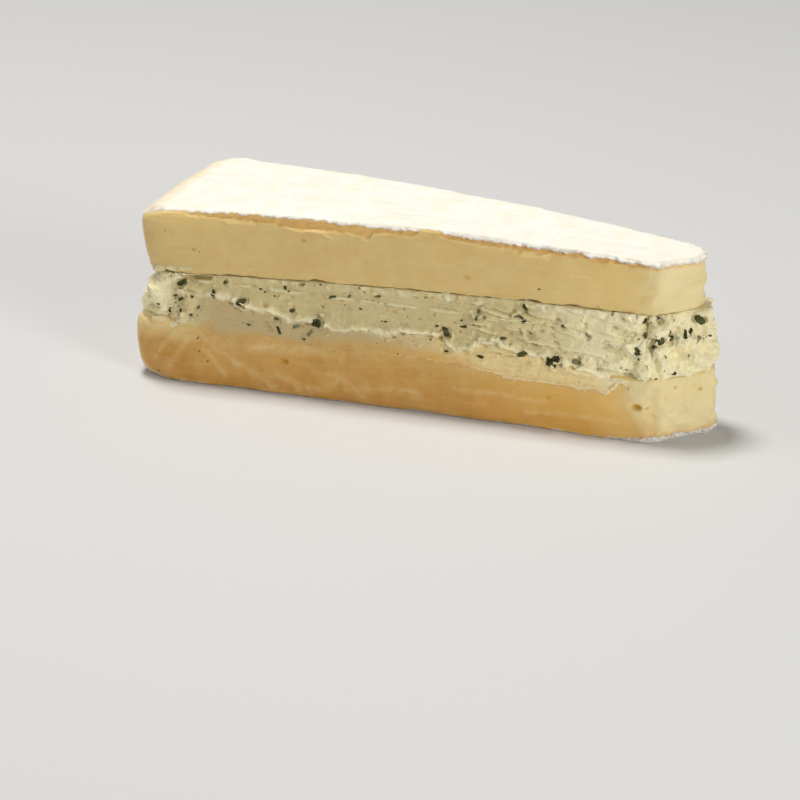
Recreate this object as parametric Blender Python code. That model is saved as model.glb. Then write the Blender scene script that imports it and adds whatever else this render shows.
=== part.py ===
"""Herb-filled brie: a long wedge cut from a filled wheel.

Three layers lie on each other: the lower brie, the herbed cream cheese and the upper brie.
The wheel's curved rind is at -X. The two cuts run from it towards the wheel's centre, at +X,
where the tip of the wedge has been trimmed off by a slanting nose cut.
+Z is up and the origin is in the middle of the footprint. Lengths are in metres.
"""

import math

import bmesh
import bpy
from mathutils import Vector, noise

# Plan of the wedge
WHEEL_RADIUS = 0.2228  # from the rind to the wheel's centre
WEDGE_HALF_ANGLE = math.radians(6.6)  # between a cut and the wedge's middle line
NOSE_START_RADIUS = 0.0634  # where the nose cut meets the front cut, from the wheel's centre
NOSE_DIRECTION = math.radians(50.0)  # of the nose cut, turned from +X
RIND_FRONT_CORNER_RADIUS = 0.0025  # upright corners between the rind and the cuts
RIND_BACK_CORNER_RADIUS = 0.0070
NOSE_FRONT_CORNER_RADIUS = 0.0080
NOSE_BACK_CORNER_RADIUS = 0.0060

# Heights above the underside, at the rind end and at the nose
LOWER_TOP_AT_RIND = 0.0218
LOWER_TOP_AT_NOSE = 0.0206
FILLING_TOP_AT_RIND = 0.0350
FILLING_TOP_AT_NOSE = 0.0408
UPPER_TOP_BASE = 0.0550
UPPER_TOP_DOME = 0.0045  # how far the top rises above its base
DOME_START, DOME_SPAN = 0.07, 0.70  # the stretch of a half wave that the dome follows
LAYER_GAP = 0.0003  # between two layers that touch

# How finely the outline and the rings are divided
OUTLINE_POINTS = 104
CORNER_STEPS = 4
RIND_ARC_STEPS = 8
CAP_INSETS = (0.10, 0.32, 0.58, 0.82)  # shares of the way from the edge to the middle line

# The middle line that caps close towards, inset from each end
SPINE_START = 0.030
SPINE_END = 0.012


class Layer:
    """One layer: its heights, the width of its nose and the profile of its side.

    Each side ring is (height share, outward push on the rind, outward push on the cuts).
    """

    def __init__(self, name, colour, roughness, bottom, top, nose_width, side, relief):
        self.name = name
        self.colour = colour
        self.roughness = roughness
        self.bottom = bottom
        self.top = top
        self.nose_width = nose_width
        self.side = side
        self.relief_height, self.relief_size = relief


def polar(radius, angle):
    """A point of the wheel, seen from its centre, which is at X = WHEEL_RADIUS here."""
    return Vector((WHEEL_RADIUS - radius * math.cos(angle), radius * math.sin(angle)))


def length_share(x):
    """0 at the rind and 1 at the start of the nose cut."""
    return x / (WHEEL_RADIUS - NOSE_START_RADIUS)


def underside(_x):
    return 0.0


def lower_top(x):
    return LOWER_TOP_AT_RIND + (LOWER_TOP_AT_NOSE - LOWER_TOP_AT_RIND) * length_share(x)


def filling_top(x):
    share = min(1.0, max(0.0, length_share(x)))
    rise = 1.0 - (1.0 - share) ** 2
    return FILLING_TOP_AT_RIND + (FILLING_TOP_AT_NOSE - FILLING_TOP_AT_RIND) * rise


def upper_top(x):
    wave = math.sin(math.pi * (DOME_START + DOME_SPAN * length_share(x)))
    return UPPER_TOP_BASE + UPPER_TOP_DOME * wave


def ridge_share(x):
    """Height share of the lip that the knife left on the front of the filling."""
    share = min(1.0, max(0.0, length_share(x)))
    return 0.24 + 0.40 * math.exp(-((share / 0.22) ** 2))


def raised(surface, by):
    """A layer's surface, moved up or down to leave its half of the gap."""
    return lambda x: surface(x) + by


def rounded_corner(before, corner, after, radius):
    """Points of an arc that replaces a corner, on the way from before to after."""
    inward = (before - corner).normalized()
    outward = (after - corner).normalized()
    half_angle = math.acos(max(-1.0, min(1.0, inward.dot(outward)))) / 2.0
    reach = radius / math.tan(half_angle)
    centre = corner + (inward + outward).normalized() * (radius / math.sin(half_angle))
    start = corner + inward * reach - centre
    turn = math.pi - 2.0 * half_angle
    points = []
    for step in range(CORNER_STEPS + 1):
        angle = turn * step / CORNER_STEPS
        points.append(
            centre
            + Vector(
                (
                    start.x * math.cos(angle) - start.y * math.sin(angle),
                    start.x * math.sin(angle) + start.y * math.cos(angle),
                )
            )
        )
    return points


def plan_outline(nose_width):
    """The layer's outline from above, anticlockwise, starting on the front cut."""
    rind_front = polar(WHEEL_RADIUS, -WEDGE_HALF_ANGLE)
    rind_back = polar(WHEEL_RADIUS, WEDGE_HALF_ANGLE)
    nose_front = polar(NOSE_START_RADIUS, -WEDGE_HALF_ANGLE)
    along_nose = Vector((math.cos(NOSE_DIRECTION), math.sin(NOSE_DIRECTION)))
    nose_back = nose_front + along_nose * nose_width
    arc = []
    for step in range(1, RIND_ARC_STEPS):
        angle = WEDGE_HALF_ANGLE * (1.0 - 2.0 * step / RIND_ARC_STEPS)
        arc.append(polar(WHEEL_RADIUS, angle))
    outline = rounded_corner(arc[-1], rind_front, nose_front, RIND_FRONT_CORNER_RADIUS)
    outline += rounded_corner(rind_front, nose_front, nose_back, NOSE_FRONT_CORNER_RADIUS)
    outline += rounded_corner(nose_front, nose_back, rind_back, NOSE_BACK_CORNER_RADIUS)
    outline += rounded_corner(nose_back, rind_back, arc[0], RIND_BACK_CORNER_RADIUS)
    return outline + arc


def evenly_spaced(outline, count):
    """The closed outline again, with its points a like distance apart."""
    closed = outline + outline[:1]
    lengths = [(b - a).length for a, b in zip(closed, closed[1:])]
    step = sum(lengths) / count
    points = []
    for index in range(count):
        along = step * index
        side = 0
        while along > lengths[side]:
            along -= lengths[side]
            side += 1
        points.append(closed[side].lerp(closed[side + 1], along / lengths[side]))
    return points


def outward_directions(points):
    """The direction out of the outline at each of its points."""
    directions = []
    for index, _point in enumerate(points):
        along = points[(index + 1) % len(points)] - points[index - 1]
        directions.append(Vector((along.y, -along.x)).normalized())
    return directions


def rind_weight(direction):
    """1 on the wheel's rind, 0 on the two cuts and the nose."""
    return min(1.0, max(0.0, (-direction.x - 0.25) / 0.5))


def front_weight(direction):
    """1 on the front cut, which the knife's lip is on, and 0 elsewhere."""
    facing = -direction.y * (1.0 if abs(direction.x) < 0.5 else 0.0)
    return 1.0 if facing > 0.8 else 0.0


def nearest_on_spine(point):
    """The point of the wedge's middle line that a cap closes towards."""
    last = WHEEL_RADIUS - NOSE_START_RADIUS - SPINE_END
    return Vector((min(last, max(SPINE_START, point.x)), 0.0))


def relief(layer, place):
    """A gentle unevenness of the side, in metres, outwards."""
    lump = noise.noise(place / layer.relief_size)
    fine = noise.noise(place / (0.4 * layer.relief_size) + Vector((7.0, 3.0, 5.0)))
    return layer.relief_height * (lump + 0.4 * fine)


def side_ring(layer, points, directions, height_share, rind_push, cut_push):
    ring = []
    for point, direction in zip(points, directions):
        share = height_share
        push = cut_push
        if callable(height_share):
            share = height_share(point.x)
        if callable(cut_push):
            push = cut_push(front_weight(direction))
        weight = rind_weight(direction)
        low, high = layer.bottom(point.x), layer.top(point.x)
        place = Vector((point.x, point.y, low + share * (high - low)))
        outward = weight * rind_push + (1.0 - weight) * push + relief(layer, place)
        ring.append((point.x + outward * direction.x, point.y + outward * direction.y, place.z))
    return ring


def cap_ring(edge_ring, inset, surface):
    """A ring of a layer's top or underside, drawn in from the edge towards the middle line."""
    ring = []
    for x, y, _z in edge_ring:
        flat = Vector((x, y))
        place = flat.lerp(nearest_on_spine(flat), inset)
        ring.append((place.x, place.y, surface(place.x)))
    return ring


def layer_rings(layer):
    """The rings of a layer, out over its underside, up its side and in over its top."""
    points = evenly_spaced(plan_outline(layer.nose_width), OUTLINE_POINTS)
    directions = outward_directions(points)
    sides = [side_ring(layer, points, directions, *ring) for ring in layer.side]
    under = [cap_ring(sides[0], inset, layer.bottom) for inset in reversed(CAP_INSETS)]
    over = [cap_ring(sides[-1], inset, layer.top) for inset in CAP_INSETS]
    return under + sides + over


def first_loop(mesh, ring, numbering):
    """Draws the first ring as a closed loop of edges, with its points numbered."""
    corners = [mesh.verts.new(point) for point in ring]
    for number, corner in enumerate(corners):
        corner[numbering] = number
    return [
        mesh.edges.new((corners[index - 1], corners[index])) for index in range(len(corners))
    ]


def next_loop(mesh, edges, ring, numbering):
    """Extrudes a loop of edges and moves each new point to its place on the next ring."""
    grown = bmesh.ops.extrude_edge_only(mesh, edges=edges)["geom"]
    for corner in grown:
        if isinstance(corner, bmesh.types.BMVert):
            corner.co = ring[corner[numbering]]
    return [edge for edge in grown if isinstance(edge, bmesh.types.BMEdge) and edge.is_boundary]


def build_layer(layer, parent):
    """Extrudes the layer's rings into one closed solid and gives it its colour."""
    mesh = bmesh.new()
    numbering = mesh.verts.layers.int.new("place on the outline")
    rings = layer_rings(layer)
    loop = first_loop(mesh, rings[0], numbering)
    for ring in rings[1:]:
        loop = next_loop(mesh, loop, ring, numbering)
    bmesh.ops.holes_fill(mesh, edges=mesh.edges, sides=OUTLINE_POINTS)
    bmesh.ops.triangulate(mesh, faces=mesh.faces)
    bmesh.ops.recalc_face_normals(mesh, faces=mesh.faces)
    data = bpy.data.meshes.new(layer.name)
    mesh.to_mesh(data)
    mesh.free()
    data.shade_smooth()
    data.set_sharp_from_angle(angle=math.radians(40.0))
    data.materials.append(principled(layer.name, layer.colour, layer.roughness))
    solid = bpy.data.objects.new(layer.name, data)
    bpy.context.scene.collection.objects.link(solid)
    solid.parent = parent
    return solid


def principled(name, colour, roughness):
    material = bpy.data.materials.new(name)
    material.use_nodes = True
    shader = material.node_tree.nodes["Principled BSDF"]
    shader.inputs["Base Color"].default_value = (*colour, 1.0)
    shader.inputs["Roughness"].default_value = roughness
    shader.inputs["Metallic"].default_value = 0.0
    return material


def lower_brie():
    return Layer(
        name="lower_brie",
        colour=(0.80, 0.62, 0.34),
        roughness=0.45,
        bottom=underside,
        top=raised(lower_top, -LAYER_GAP / 2.0),
        nose_width=0.0300,
        side=[
            (0.00, 0.0000, -0.0012),
            (0.09, 0.0034, -0.0002),
            (0.28, 0.0052, 0.0004),
            (0.62, 0.0057, 0.0002),
            (0.92, 0.0048, 0.0000),
            (1.00, 0.0038, -0.0006),
        ],
        relief=(0.0007, 0.016),
    )


def herb_filling():
    """The front has a lip below and a flatter, knife-smoothed band above it."""
    return Layer(
        name="herb_filling",
        colour=(0.76, 0.72, 0.52),
        roughness=0.55,
        bottom=raised(lower_top, LAYER_GAP / 2.0),
        top=raised(filling_top, -LAYER_GAP / 2.0),
        nose_width=0.0284,
        side=[
            (0.00, 0.0030, 0.0003),
            (lambda x: 0.50 * ridge_share(x), 0.0032, lambda front: 0.0006 + 0.0004 * front),
            (lambda x: ridge_share(x), 0.0018, lambda front: 0.0006 + 0.0006 * front),
            (lambda x: ridge_share(x) + 0.10, 0.0010, lambda front: 0.0006 - 0.0008 * front),
            (lambda x: 0.5 + 0.5 * ridge_share(x), -0.0014, lambda front: 0.0006 - 0.0010 * front),
            (1.00, -0.0030, -0.0005),
        ],
        relief=(0.0012, 0.007),
    )


def upper_brie():
    return Layer(
        name="upper_brie",
        colour=(0.84, 0.74, 0.50),
        roughness=0.45,
        bottom=raised(filling_top, LAYER_GAP / 2.0),
        top=upper_top,
        nose_width=0.0245,
        side=[
            (0.00, 0.0000, -0.0005),
            (0.06, 0.0007, 0.0000),
            (0.40, 0.0020, 0.0003),
            (0.70, 0.0030, 0.0002),
            (0.92, 0.0026, 0.0000),
            (1.00, 0.0006, -0.0009),
        ],
        relief=(0.0005, 0.018),
    )


def footprint_middle(solids):
    """The middle of the layers' common footprint."""
    corners = [vertex.co for solid in solids for vertex in solid.data.vertices]
    middle_x = (min(c.x for c in corners) + max(c.x for c in corners)) / 2.0
    middle_y = (min(c.y for c in corners) + max(c.y for c in corners)) / 2.0
    return Vector((middle_x, middle_y, 0.0))


def build_wedge():
    for leftover in list(bpy.data.objects):
        bpy.data.objects.remove(leftover)
    wedge = bpy.data.objects.new("wedge", None)
    bpy.context.scene.collection.objects.link(wedge)
    solids = [build_layer(layer, wedge) for layer in (lower_brie(), herb_filling(), upper_brie())]
    wedge.location = -footprint_middle(solids)


build_wedge()
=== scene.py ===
# %% [markdown]
# # A wedge of herb-filled brie
#
# The real thing is a brie wheel that was split level, spread with herbed cream cheese and closed
# again, and then cut like a cake. So there are three layers, and each one has another surface: firm
# golden paste that a knife has dragged over, soft cream with herbs stuck in it, and a white bloomy
# rind on the outside of the wheel. The frame holds the three plain solids. This lesson gives each
# of them its real surface, and adds what is too small for a solid.

# %% Load the frame
import math
import random

import bpy
import numpy as np
from mathutils import Matrix, Vector, noise
from mathutils.bvhtree import BVHTree
from mathutils.kdtree import KDTree


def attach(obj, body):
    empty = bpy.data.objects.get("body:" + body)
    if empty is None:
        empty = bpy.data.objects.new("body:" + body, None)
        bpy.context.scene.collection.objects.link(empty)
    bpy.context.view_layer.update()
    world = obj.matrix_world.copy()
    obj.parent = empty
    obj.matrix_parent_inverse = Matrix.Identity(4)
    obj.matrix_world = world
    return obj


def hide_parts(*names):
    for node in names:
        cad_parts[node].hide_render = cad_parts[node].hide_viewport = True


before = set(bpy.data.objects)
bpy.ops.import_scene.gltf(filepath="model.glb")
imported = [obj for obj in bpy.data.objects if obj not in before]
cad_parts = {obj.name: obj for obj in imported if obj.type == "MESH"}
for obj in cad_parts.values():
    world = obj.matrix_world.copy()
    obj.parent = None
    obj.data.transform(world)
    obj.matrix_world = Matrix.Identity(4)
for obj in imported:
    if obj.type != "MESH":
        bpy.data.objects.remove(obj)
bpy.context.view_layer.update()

MM = 0.001

# %% [markdown]
# ## Where things are on the wedge
#
# Nearly everything on this cheese follows one of its cuts. So a place is given as a cook would say
# it: so far along the long front cut, so far out of it, and so high. The nose is the short slanting
# cut at the thin end, with places of its own. The wheel's middle is needed too, because the rind
# at the thick end is an arc round it.

# %% The cuts
CUT_START = Vector((-80.5 * MM, -25.3 * MM, 0.0))  # foot of the front cut, at the rind
CUT_TURN = math.radians(6.6)
CUT_LENGTH = 159 * MM
NOSE_TURN = math.radians(50.0)
WHEEL_MIDDLE = np.array((139 * MM, 0.0))

ALONG_CUT = Vector((math.cos(CUT_TURN), math.sin(CUT_TURN), 0.0))
OUT_OF_CUT = Vector((math.sin(CUT_TURN), -math.cos(CUT_TURN), 0.0))
NOSE_START = CUT_START + ALONG_CUT * CUT_LENGTH
ALONG_NOSE = Vector((math.cos(NOSE_TURN), math.sin(NOSE_TURN), 0.0))
OUT_OF_NOSE = Vector((math.sin(NOSE_TURN), -math.cos(NOSE_TURN), 0.0))


def places_on(points, start, along, out):
    """How far each point is along a cut, out of it and up, in three columns."""
    from_start = points - np.array(start)
    return np.column_stack((from_start @ np.array(along), from_start @ np.array(out), points[:, 2]))


def cut_places(points):
    return places_on(points, CUT_START, ALONG_CUT, OUT_OF_CUT)


def nose_places(points):
    return places_on(points, NOSE_START, ALONG_NOSE, OUT_OF_NOSE)


print("nose starts at", [round(value / MM, 1) for value in NOSE_START], "mm")

# %% [markdown]
# ## Small tools: masks and noise
#
# Three tools shape every surface. A soft step fades an effect in or out. Smooth noise gives swells
# and lumps. Noise folded at zero gives sharp crests, as where soft cheese tears. Stretching the
# noise along the cut turns lumps into the drag lines of a knife.


# %% Masks and noise
def soft_step(low, high, values):
    """0 below low, 1 above high, and a smooth ramp between them."""
    share = np.clip((values - low) / (high - low), 0.0, 1.0)
    return share * share * (3.0 - 2.0 * share)


def swells(places, size, seed=0.0):
    """Smooth noise from about -1 to 1, with its grain size in metres along each column."""
    scaled = places / np.array(size) + seed
    return np.array([noise.noise(place) for place in scaled.tolist()])


def crests(places, size, seed=0.0):
    """Noise with sharp crests at 1 and round hollows towards -1."""
    return 1.0 - 3.0 * np.abs(swells(places, size, seed))


def torn_layers(places, size, fall, seed=0.0):
    """Overlapping layers: each one swells towards its lower edge and ends there in a sudden step."""
    level = 0.8 * swells(places, size, seed) - places[:, 2] / fall
    share = level - np.floor(level)
    return np.minimum(share / 0.82, (1.0 - share) / 0.18)


def turned(places, angle):
    """Places turned about a cut's outward line, so that a pattern on them runs at a slant."""
    along, out, up = places.T
    turn = math.radians(angle)
    slant_along = along * math.cos(turn) + up * math.sin(turn)
    return np.column_stack((slant_along, out, up * math.cos(turn) - along * math.sin(turn)))


def along_curve(stations, curve):
    """Reads a curve, given as (place, value) pairs in millimetres, at places in metres."""
    places, values = zip(*curve)
    return np.interp(stations, np.array(places) * MM, np.array(values) * MM)


print("noise test:", round(float(swells(np.array([[0.3, 0.2, 0.1]]), 1.0)[0]), 3))

# %% [markdown]
# ## Small tools: the mesh
#
# A voxel remesh turns a coarse solid into a fine, even net, the way a sculptor starts. After that a
# surface is shaped by moving its points, so these tools read all points at once, work on them as
# columns of numbers, and write them back. `paint` stores a mask on the points, which the material
# reads later.


# %% Mesh tools
def only(piece):
    """Makes this the one selected and active object."""
    bpy.ops.object.select_all(action="DESELECT")
    piece.select_set(True)
    bpy.context.view_layer.objects.active = piece


def points_of(piece):
    flat = np.empty(len(piece.data.vertices) * 3, np.float32)
    piece.data.vertices.foreach_get("co", flat)
    return flat.reshape(-1, 3).astype(float)


def normals_of(piece):
    flat = np.empty(len(piece.data.vertices) * 3, np.float32)
    piece.data.vertex_normals.foreach_get("vector", flat)
    return flat.reshape(-1, 3).astype(float)


def set_points(piece, points):
    piece.data.vertices.foreach_set("co", points.astype(np.float32).ravel())
    piece.data.update()


def paint(piece, name, values):
    """Stores one number on each point, for the material."""
    if name not in piece.data.attributes:
        piece.data.attributes.new(name, "FLOAT", "POINT")
    piece.data.attributes[name].data.foreach_set("value", np.asarray(values, np.float32))


def search_tree(places):
    """A tree that finds the nearest of many places fast."""
    tree = KDTree(len(places))
    for index, place in enumerate(places):
        tree.insert(place, index)
    tree.balance()
    return tree


def triangles_of(piece):
    return sum(len(face.vertices) - 2 for face in piece.data.polygons)


def apply_modifier(piece, kind, **settings):
    """Adds one modifier with these settings and applies it."""
    only(piece)
    modifier = piece.modifiers.new(kind.title(), kind)
    for setting, value in settings.items():
        setattr(modifier, setting, value)
    bpy.ops.object.modifier_apply(modifier=modifier.name)


def copy_of_node(node, name):
    """A free copy of one CAD solid, with its loose triangles joined."""
    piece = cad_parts[node].copy()
    piece.data = piece.data.copy()
    piece.name = name
    piece.parent = None
    for key in list(piece.keys()):
        del piece[key]
    bpy.context.scene.collection.objects.link(piece)
    only(piece)
    bpy.ops.object.mode_set(mode="EDIT")
    bpy.ops.mesh.select_all(action="SELECT")
    bpy.ops.mesh.remove_doubles(threshold=0.01 * MM)
    bpy.ops.object.mode_set(mode="OBJECT")
    piece.data.materials.clear()
    return piece


def fine_net(piece, mesh_size, smoothing):
    """Remeshes a piece into an even net and smooths its facets away."""
    apply_modifier(piece, "REMESH", mode="VOXEL", voxel_size=mesh_size, use_smooth_shade=True)
    apply_modifier(piece, "SMOOTH", factor=0.5, iterations=smoothing)


def thin_out(piece, most):
    """Merges the smallest triangles, first where the surface is smooth, until few enough are left."""
    apply_modifier(piece, "DECIMATE", ratio=min(1.0, most / triangles_of(piece)))


def close_hidden_face(piece, upward, margin):
    """Swaps the net of a face that lies against another layer for a single flat face."""
    mesh = piece.data
    tree = search_tree([vertex.co for vertex in mesh.vertices if abs(vertex.normal.z) < 0.5])
    chosen = []
    for face in mesh.polygons:
        inner = face.normal.z * upward > 0.7 and tree.find(face.center)[2] > margin
        chosen.append(inner)
    only(piece)
    bpy.ops.object.mode_set(mode="EDIT")
    bpy.ops.mesh.select_mode(type="FACE")
    bpy.ops.mesh.select_all(action="DESELECT")
    bpy.ops.object.mode_set(mode="OBJECT")
    mesh.polygons.foreach_set("select", chosen)
    bpy.ops.object.mode_set(mode="EDIT")
    bpy.ops.mesh.dissolve_faces()
    bpy.ops.object.mode_set(mode="OBJECT")


def neighbour_mean(piece, values):
    """Each point's value, or place, averaged over the points that it is joined to."""
    ends = np.empty(len(piece.data.edges) * 2, np.int32)
    piece.data.edges.foreach_get("vertices", ends)
    first, second = ends.reshape(-1, 2).T
    count = len(values)
    joined = np.bincount(first, minlength=count) + np.bincount(second, minlength=count)
    sums = []
    for column in values.T:
        at_first = np.bincount(first, column[second], count)
        at_second = np.bincount(second, column[first], count)
        sums.append(at_first + at_second)
    return np.column_stack(sums) / np.maximum(joined, 1)[:, None]


def rim_depth(points):
    """How deep each point lies inside the wheel's round outer rim."""
    from_middle = np.hypot(*(points[:, :2] - WHEEL_MIDDLE).T)
    edges = np.linspace(points[:, 2].min(), points[:, 2].max(), 20)
    slot = np.digitize(points[:, 2], edges)
    rims = {step: from_middle[slot == step].max() for step in np.unique(slot)}
    heights = [points[slot == step, 2].mean() for step in rims]
    widths = np.maximum(list(rims.values()), from_middle.max() - 4 * MM)
    return np.interp(points[:, 2], heights, widths) - from_middle


def soften_corners(piece, passes):
    """Rounds the upright facets of the sides, and the whole of the rind end's shoulders."""
    points = points_of(piece)
    upright = np.abs(normals_of(piece)[:, 2:]) < 0.3
    for _round in range(passes):
        points[:, :2] = np.where(upright, neighbour_mean(piece, points[:, :2]), points[:, :2])
    shoulder = soft_step(9 * MM, 3 * MM, rim_depth(points))[:, None]
    for _round in range(2 * passes):
        points += shoulder * (neighbour_mean(piece, points) - points)
    points[:, 0] -= 1.1 * MM * shoulder[:, 0]
    set_points(piece, points)


def hollows(piece, passes):
    """How deep each point lies in a hollow, in millimetres, or below 0 how far it stands out."""
    points = points_of(piece)
    smoothed = points
    for _round in range(passes):
        smoothed = 0.4 * smoothed + 0.6 * neighbour_mean(piece, smoothed)
    return ((smoothed - points) * normals_of(piece)).sum(axis=1) / MM


def level_face(points, normals, up):
    """The height of the top (up is 1) or the underside (up is -1), at every point's place."""
    facing = normals[:, 2] * up > 0.9
    edges = np.linspace(points[:, 0].min(), points[:, 0].max(), 50)
    slot = np.digitize(points[facing, 0], edges)
    stations, heights = [], []
    for step in np.unique(slot):
        inside = slot == step
        stations.append(points[facing, 0][inside].mean())
        heights.append(np.median(points[facing, 2][inside]))
    return np.interp(points[:, 0], stations, heights)


def round_rim(points, normals, up, cut_radius, wheel_radius, nose_radius):
    """Rounds the edge of the top (up is 1) or the underside (up is -1), most at the wheel's rim."""
    radii = cut_radius + (wheel_radius - cut_radius) * soft_step(9 * MM, 2 * MM, rim_depth(points))
    radii += (nose_radius - cut_radius) * soft_step(110 * MM, 150 * MM, cut_places(points)[:, 0])
    height = (level_face(points, normals, up) - points[:, 2]) * up
    flat = points * np.array((1.0, 1.0, 0.0))
    sides = np.flatnonzero(np.abs(normals[:, 2]) < 0.4)
    tree = search_tree(flat[sides].tolist())
    near = np.flatnonzero(height < radii)
    closest = sides[[tree.find(place)[1] for place in flat[near].tolist()]]
    outward = normals[closest] * np.array((1.0, 1.0, 0.0))
    outward /= np.linalg.norm(outward, axis=1)[:, None]
    radius = radii[near]
    depth = np.clip(-((flat[near] - flat[closest]) * outward).sum(axis=1), 0.0, None)
    angle = (np.clip((height[near] - depth) / radius, -1.0, 1.0) + 1.0) * math.pi / 4.0
    reached = depth < radius
    inward = (radius * (1.0 - np.sin(angle)) - depth) * reached
    away = (radius * (1.0 - np.cos(angle)) - height[near]) * reached
    moved = points.copy()
    moved[near] -= outward * inward[:, None]
    moved[near, 2] -= up * away
    return moved


def face_share(normals, direction, low=0.80, high=0.96):
    """1 where the surface looks along a direction, and 0 where it looks elsewhere."""
    return soft_step(low, high, normals @ np.array(direction))


print("solids:", {name: triangles_of(solid) for name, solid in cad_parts.items()})

# %% [markdown]
# ## What a knife leaves: dents and scratches
#
# On firm paste a knife leaves long faint scratches, and it opens the small round holes that gas
# made in the cheese. Both are strokes of a sculpting brush here: they push the points near
# them in or out along the surface, and fade out towards the stroke's edge.


# %% Dents and scratches
def dent(places, on_cut, middle, reach, depth):
    """How far a round dent moves each point, for a middle and reach in millimetres."""
    along = (places[:, 0] - middle[0] * MM) / (reach[0] * MM)
    up = (places[:, 2] - middle[1] * MM) / (reach[1] * MM)
    inside = np.clip(1.0 - along**2 - up**2, 0.0, 1.0)
    return -depth * MM * np.sqrt(inside) * on_cut


def scratch(places, on_cut, start, end, bow, width):
    """0 to 1 along a bowed line between two places on a cut, in millimetres."""
    run = (end[0] - start[0]) * MM
    share = np.clip((places[:, 0] - start[0] * MM) / run, 0.0, 1.0)
    height = (start[1] + (end[1] - start[1]) * share + 4.0 * bow * share * (1.0 - share)) * MM
    beyond = places[:, 0] - (start[0] * MM + share * run)
    distance = np.hypot(beyond, places[:, 2] - height)
    return np.exp(-((distance / (width * MM)) ** 2)) * on_cut


test_place = np.zeros((1, 3))
test_dent = dent(test_place, 1.0, (0.0, 0.0), (1.0, 1.0), 0.5)
print("a dent 0.5 deep moves its middle by", round(float(test_dent[0]) / MM, 2), "mm")

# %% [markdown]
# ## The rind's edge
#
# The rind is about a millimetre thick, and the knife tears it rather than slicing it clean, so on the
# cuts its border is ragged. `rind_share` compares how deep a point lies with the rind's thickness,
# made uneven by noise. The answer is in millimetres: above 0 is rind, below 0 is paste, and near 0
# is the torn border. `rim_share` marks the strip along the wheel's outer rim, where the rind is tan.


# %% Rind
RIND_THICKNESS = [(0, 0.5), (30, 0.7), (60, 1.0), (84, 1.2), (88, -0.8), (92, 1.0), (110, 1.3),
                  (159, 1.8)]


def rind_share(points, normals, up, under_face, thickness, rag):
    ragged = swells(points, 4.5 * MM, 3.0) + 0.7 * swells(points, 1.8 * MM, 8.0)
    ragged += 0.5 * swells(points, 0.8 * MM, 5.0)
    on_face = np.where(under_face < 0.25 * MM, 1.8 * MM, thickness) + rag * ragged - under_face
    on_rim = (1.0 + 0.3 * ragged) * MM - rim_depth(points)
    from_middle = points[:, :2] - WHEEL_MIDDLE
    outward = (normals[:, :2] * from_middle).sum(axis=1) / np.linalg.norm(from_middle, axis=1)
    looks_out = np.hypot(np.clip(normals[:, 2] * up, 0.0, 1.0), np.clip(outward, 0.0, 1.0))
    outside = (4.0 * (looks_out - 0.75) + 0.2 * ragged) * MM
    return np.maximum.reduce((on_face, on_rim, outside)) / MM


def rim_share(points):
    """1 at the wheel's outer rim, fading out inwards."""
    return soft_step(7 * MM, 1 * MM, rim_depth(points) + 1.5 * MM * swells(points, 4 * MM, 2.0))


HALF_WAY = CUT_LENGTH / 2
print("rind half way:", round(float(along_curve(HALF_WAY, RIND_THICKNESS)) / MM, 2), "mm thick")

# %% [markdown]
# ## The upper brie
#
# This half is firm paste with the rind on top. Its front was cut with one long pull, so it is
# almost flat, with faint level drag lines. Just under the rind the paste stuck to the knife and
# tore away, which leaves a darker, golden step in the middle of the cut. The nose was cut across
# the paste and is a little wavy.

# %% Upper brie: the fine net
UPPER_NET = 0.42 * MM
CORNER_PASSES = 60
HIDDEN_MARGIN = 5 * MM
upper = copy_of_node("upper_brie", "upper_half")
fine_net(upper, UPPER_NET, smoothing=6)
soften_corners(upper, CORNER_PASSES)
close_hidden_face(upper, upward=-1, margin=HIDDEN_MARGIN)
print("upper half:", triangles_of(upper), "triangles")

# %% [markdown]
# ### Cut faces, tear and rind of the upper brie
#
# First come wide swells and the drag lines, then the torn step, and last the rind, which stands a
# little proud of the paste. `TEAR` is how far the torn step reaches down, as a curve along the cut:
# where its value is large, more paste was pulled off. A scratch or ridge is given by its two ends,
# its bow and its width, and a pit by its middle, its reach and its depth.

# %% Upper brie: shape
HOLLOW_PASSES = 10
TEAR = [(6, 0.0), (12, 0.9), (34, 1.4), (38, 1.9), (46, 2.9), (60, 2.5), (69, 3.3), (70.5, 1.3),
        (82, 1.2), (85, 0.2), (89, 0.4), (94, 1.0), (110, 1.1), (140, 0.8), (158, 0.7)]
UPPER_SCRATCHES = [((2, 44), (30, 46), 0.6, 0.5), ((78, 45), (104, 48), -1.6, 0.4),
                   ((92, 50), (118, 51), 0.8, 0.4), ((30, 40), (60, 41), 0.5, 0.5),
                   ((112, 44), (140, 43), 0.8, 0.5), ((52, 49), (75, 47), -0.6, 0.4),
                   ((124, 52), (152, 53), 0.5, 0.4)]
UPPER_RIDGES = [((41, 54.8), (48, 54.0), 0.2, 0.5), ((48, 54.6), (57, 53.4), 0.5, 0.5),
                ((24, 54.0), (32, 54.4), 0.0, 0.6), ((116, 54.6), (124, 55.2), 0.0, 0.7)]
UPPER_PITS = [((48.3, 51.6), (0.9, 0.5), 0.5), ((99.4, 46.2), (1.3, 0.5), 0.6),
              ((121.9, 56.2), (1.4, 0.4), 0.5), ((13.5, 44.4), (0.5, 0.4), 0.4)]


def long_cut_share(points, normals):
    """1 on the long cuts, fading away towards the nose."""
    station = cut_places(points)[:, 0] + 3 * MM * swells(points, 4 * MM, 15.0)
    in_front = face_share(normals, OUT_OF_CUT, 0.55, 0.9) * soft_step(160 * MM, 149 * MM, station)
    at_back = face_share(-normals, OUT_OF_CUT, 0.55, 0.9) * soft_step(174 * MM, 128 * MM, station)
    return np.maximum(in_front, at_back)


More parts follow.
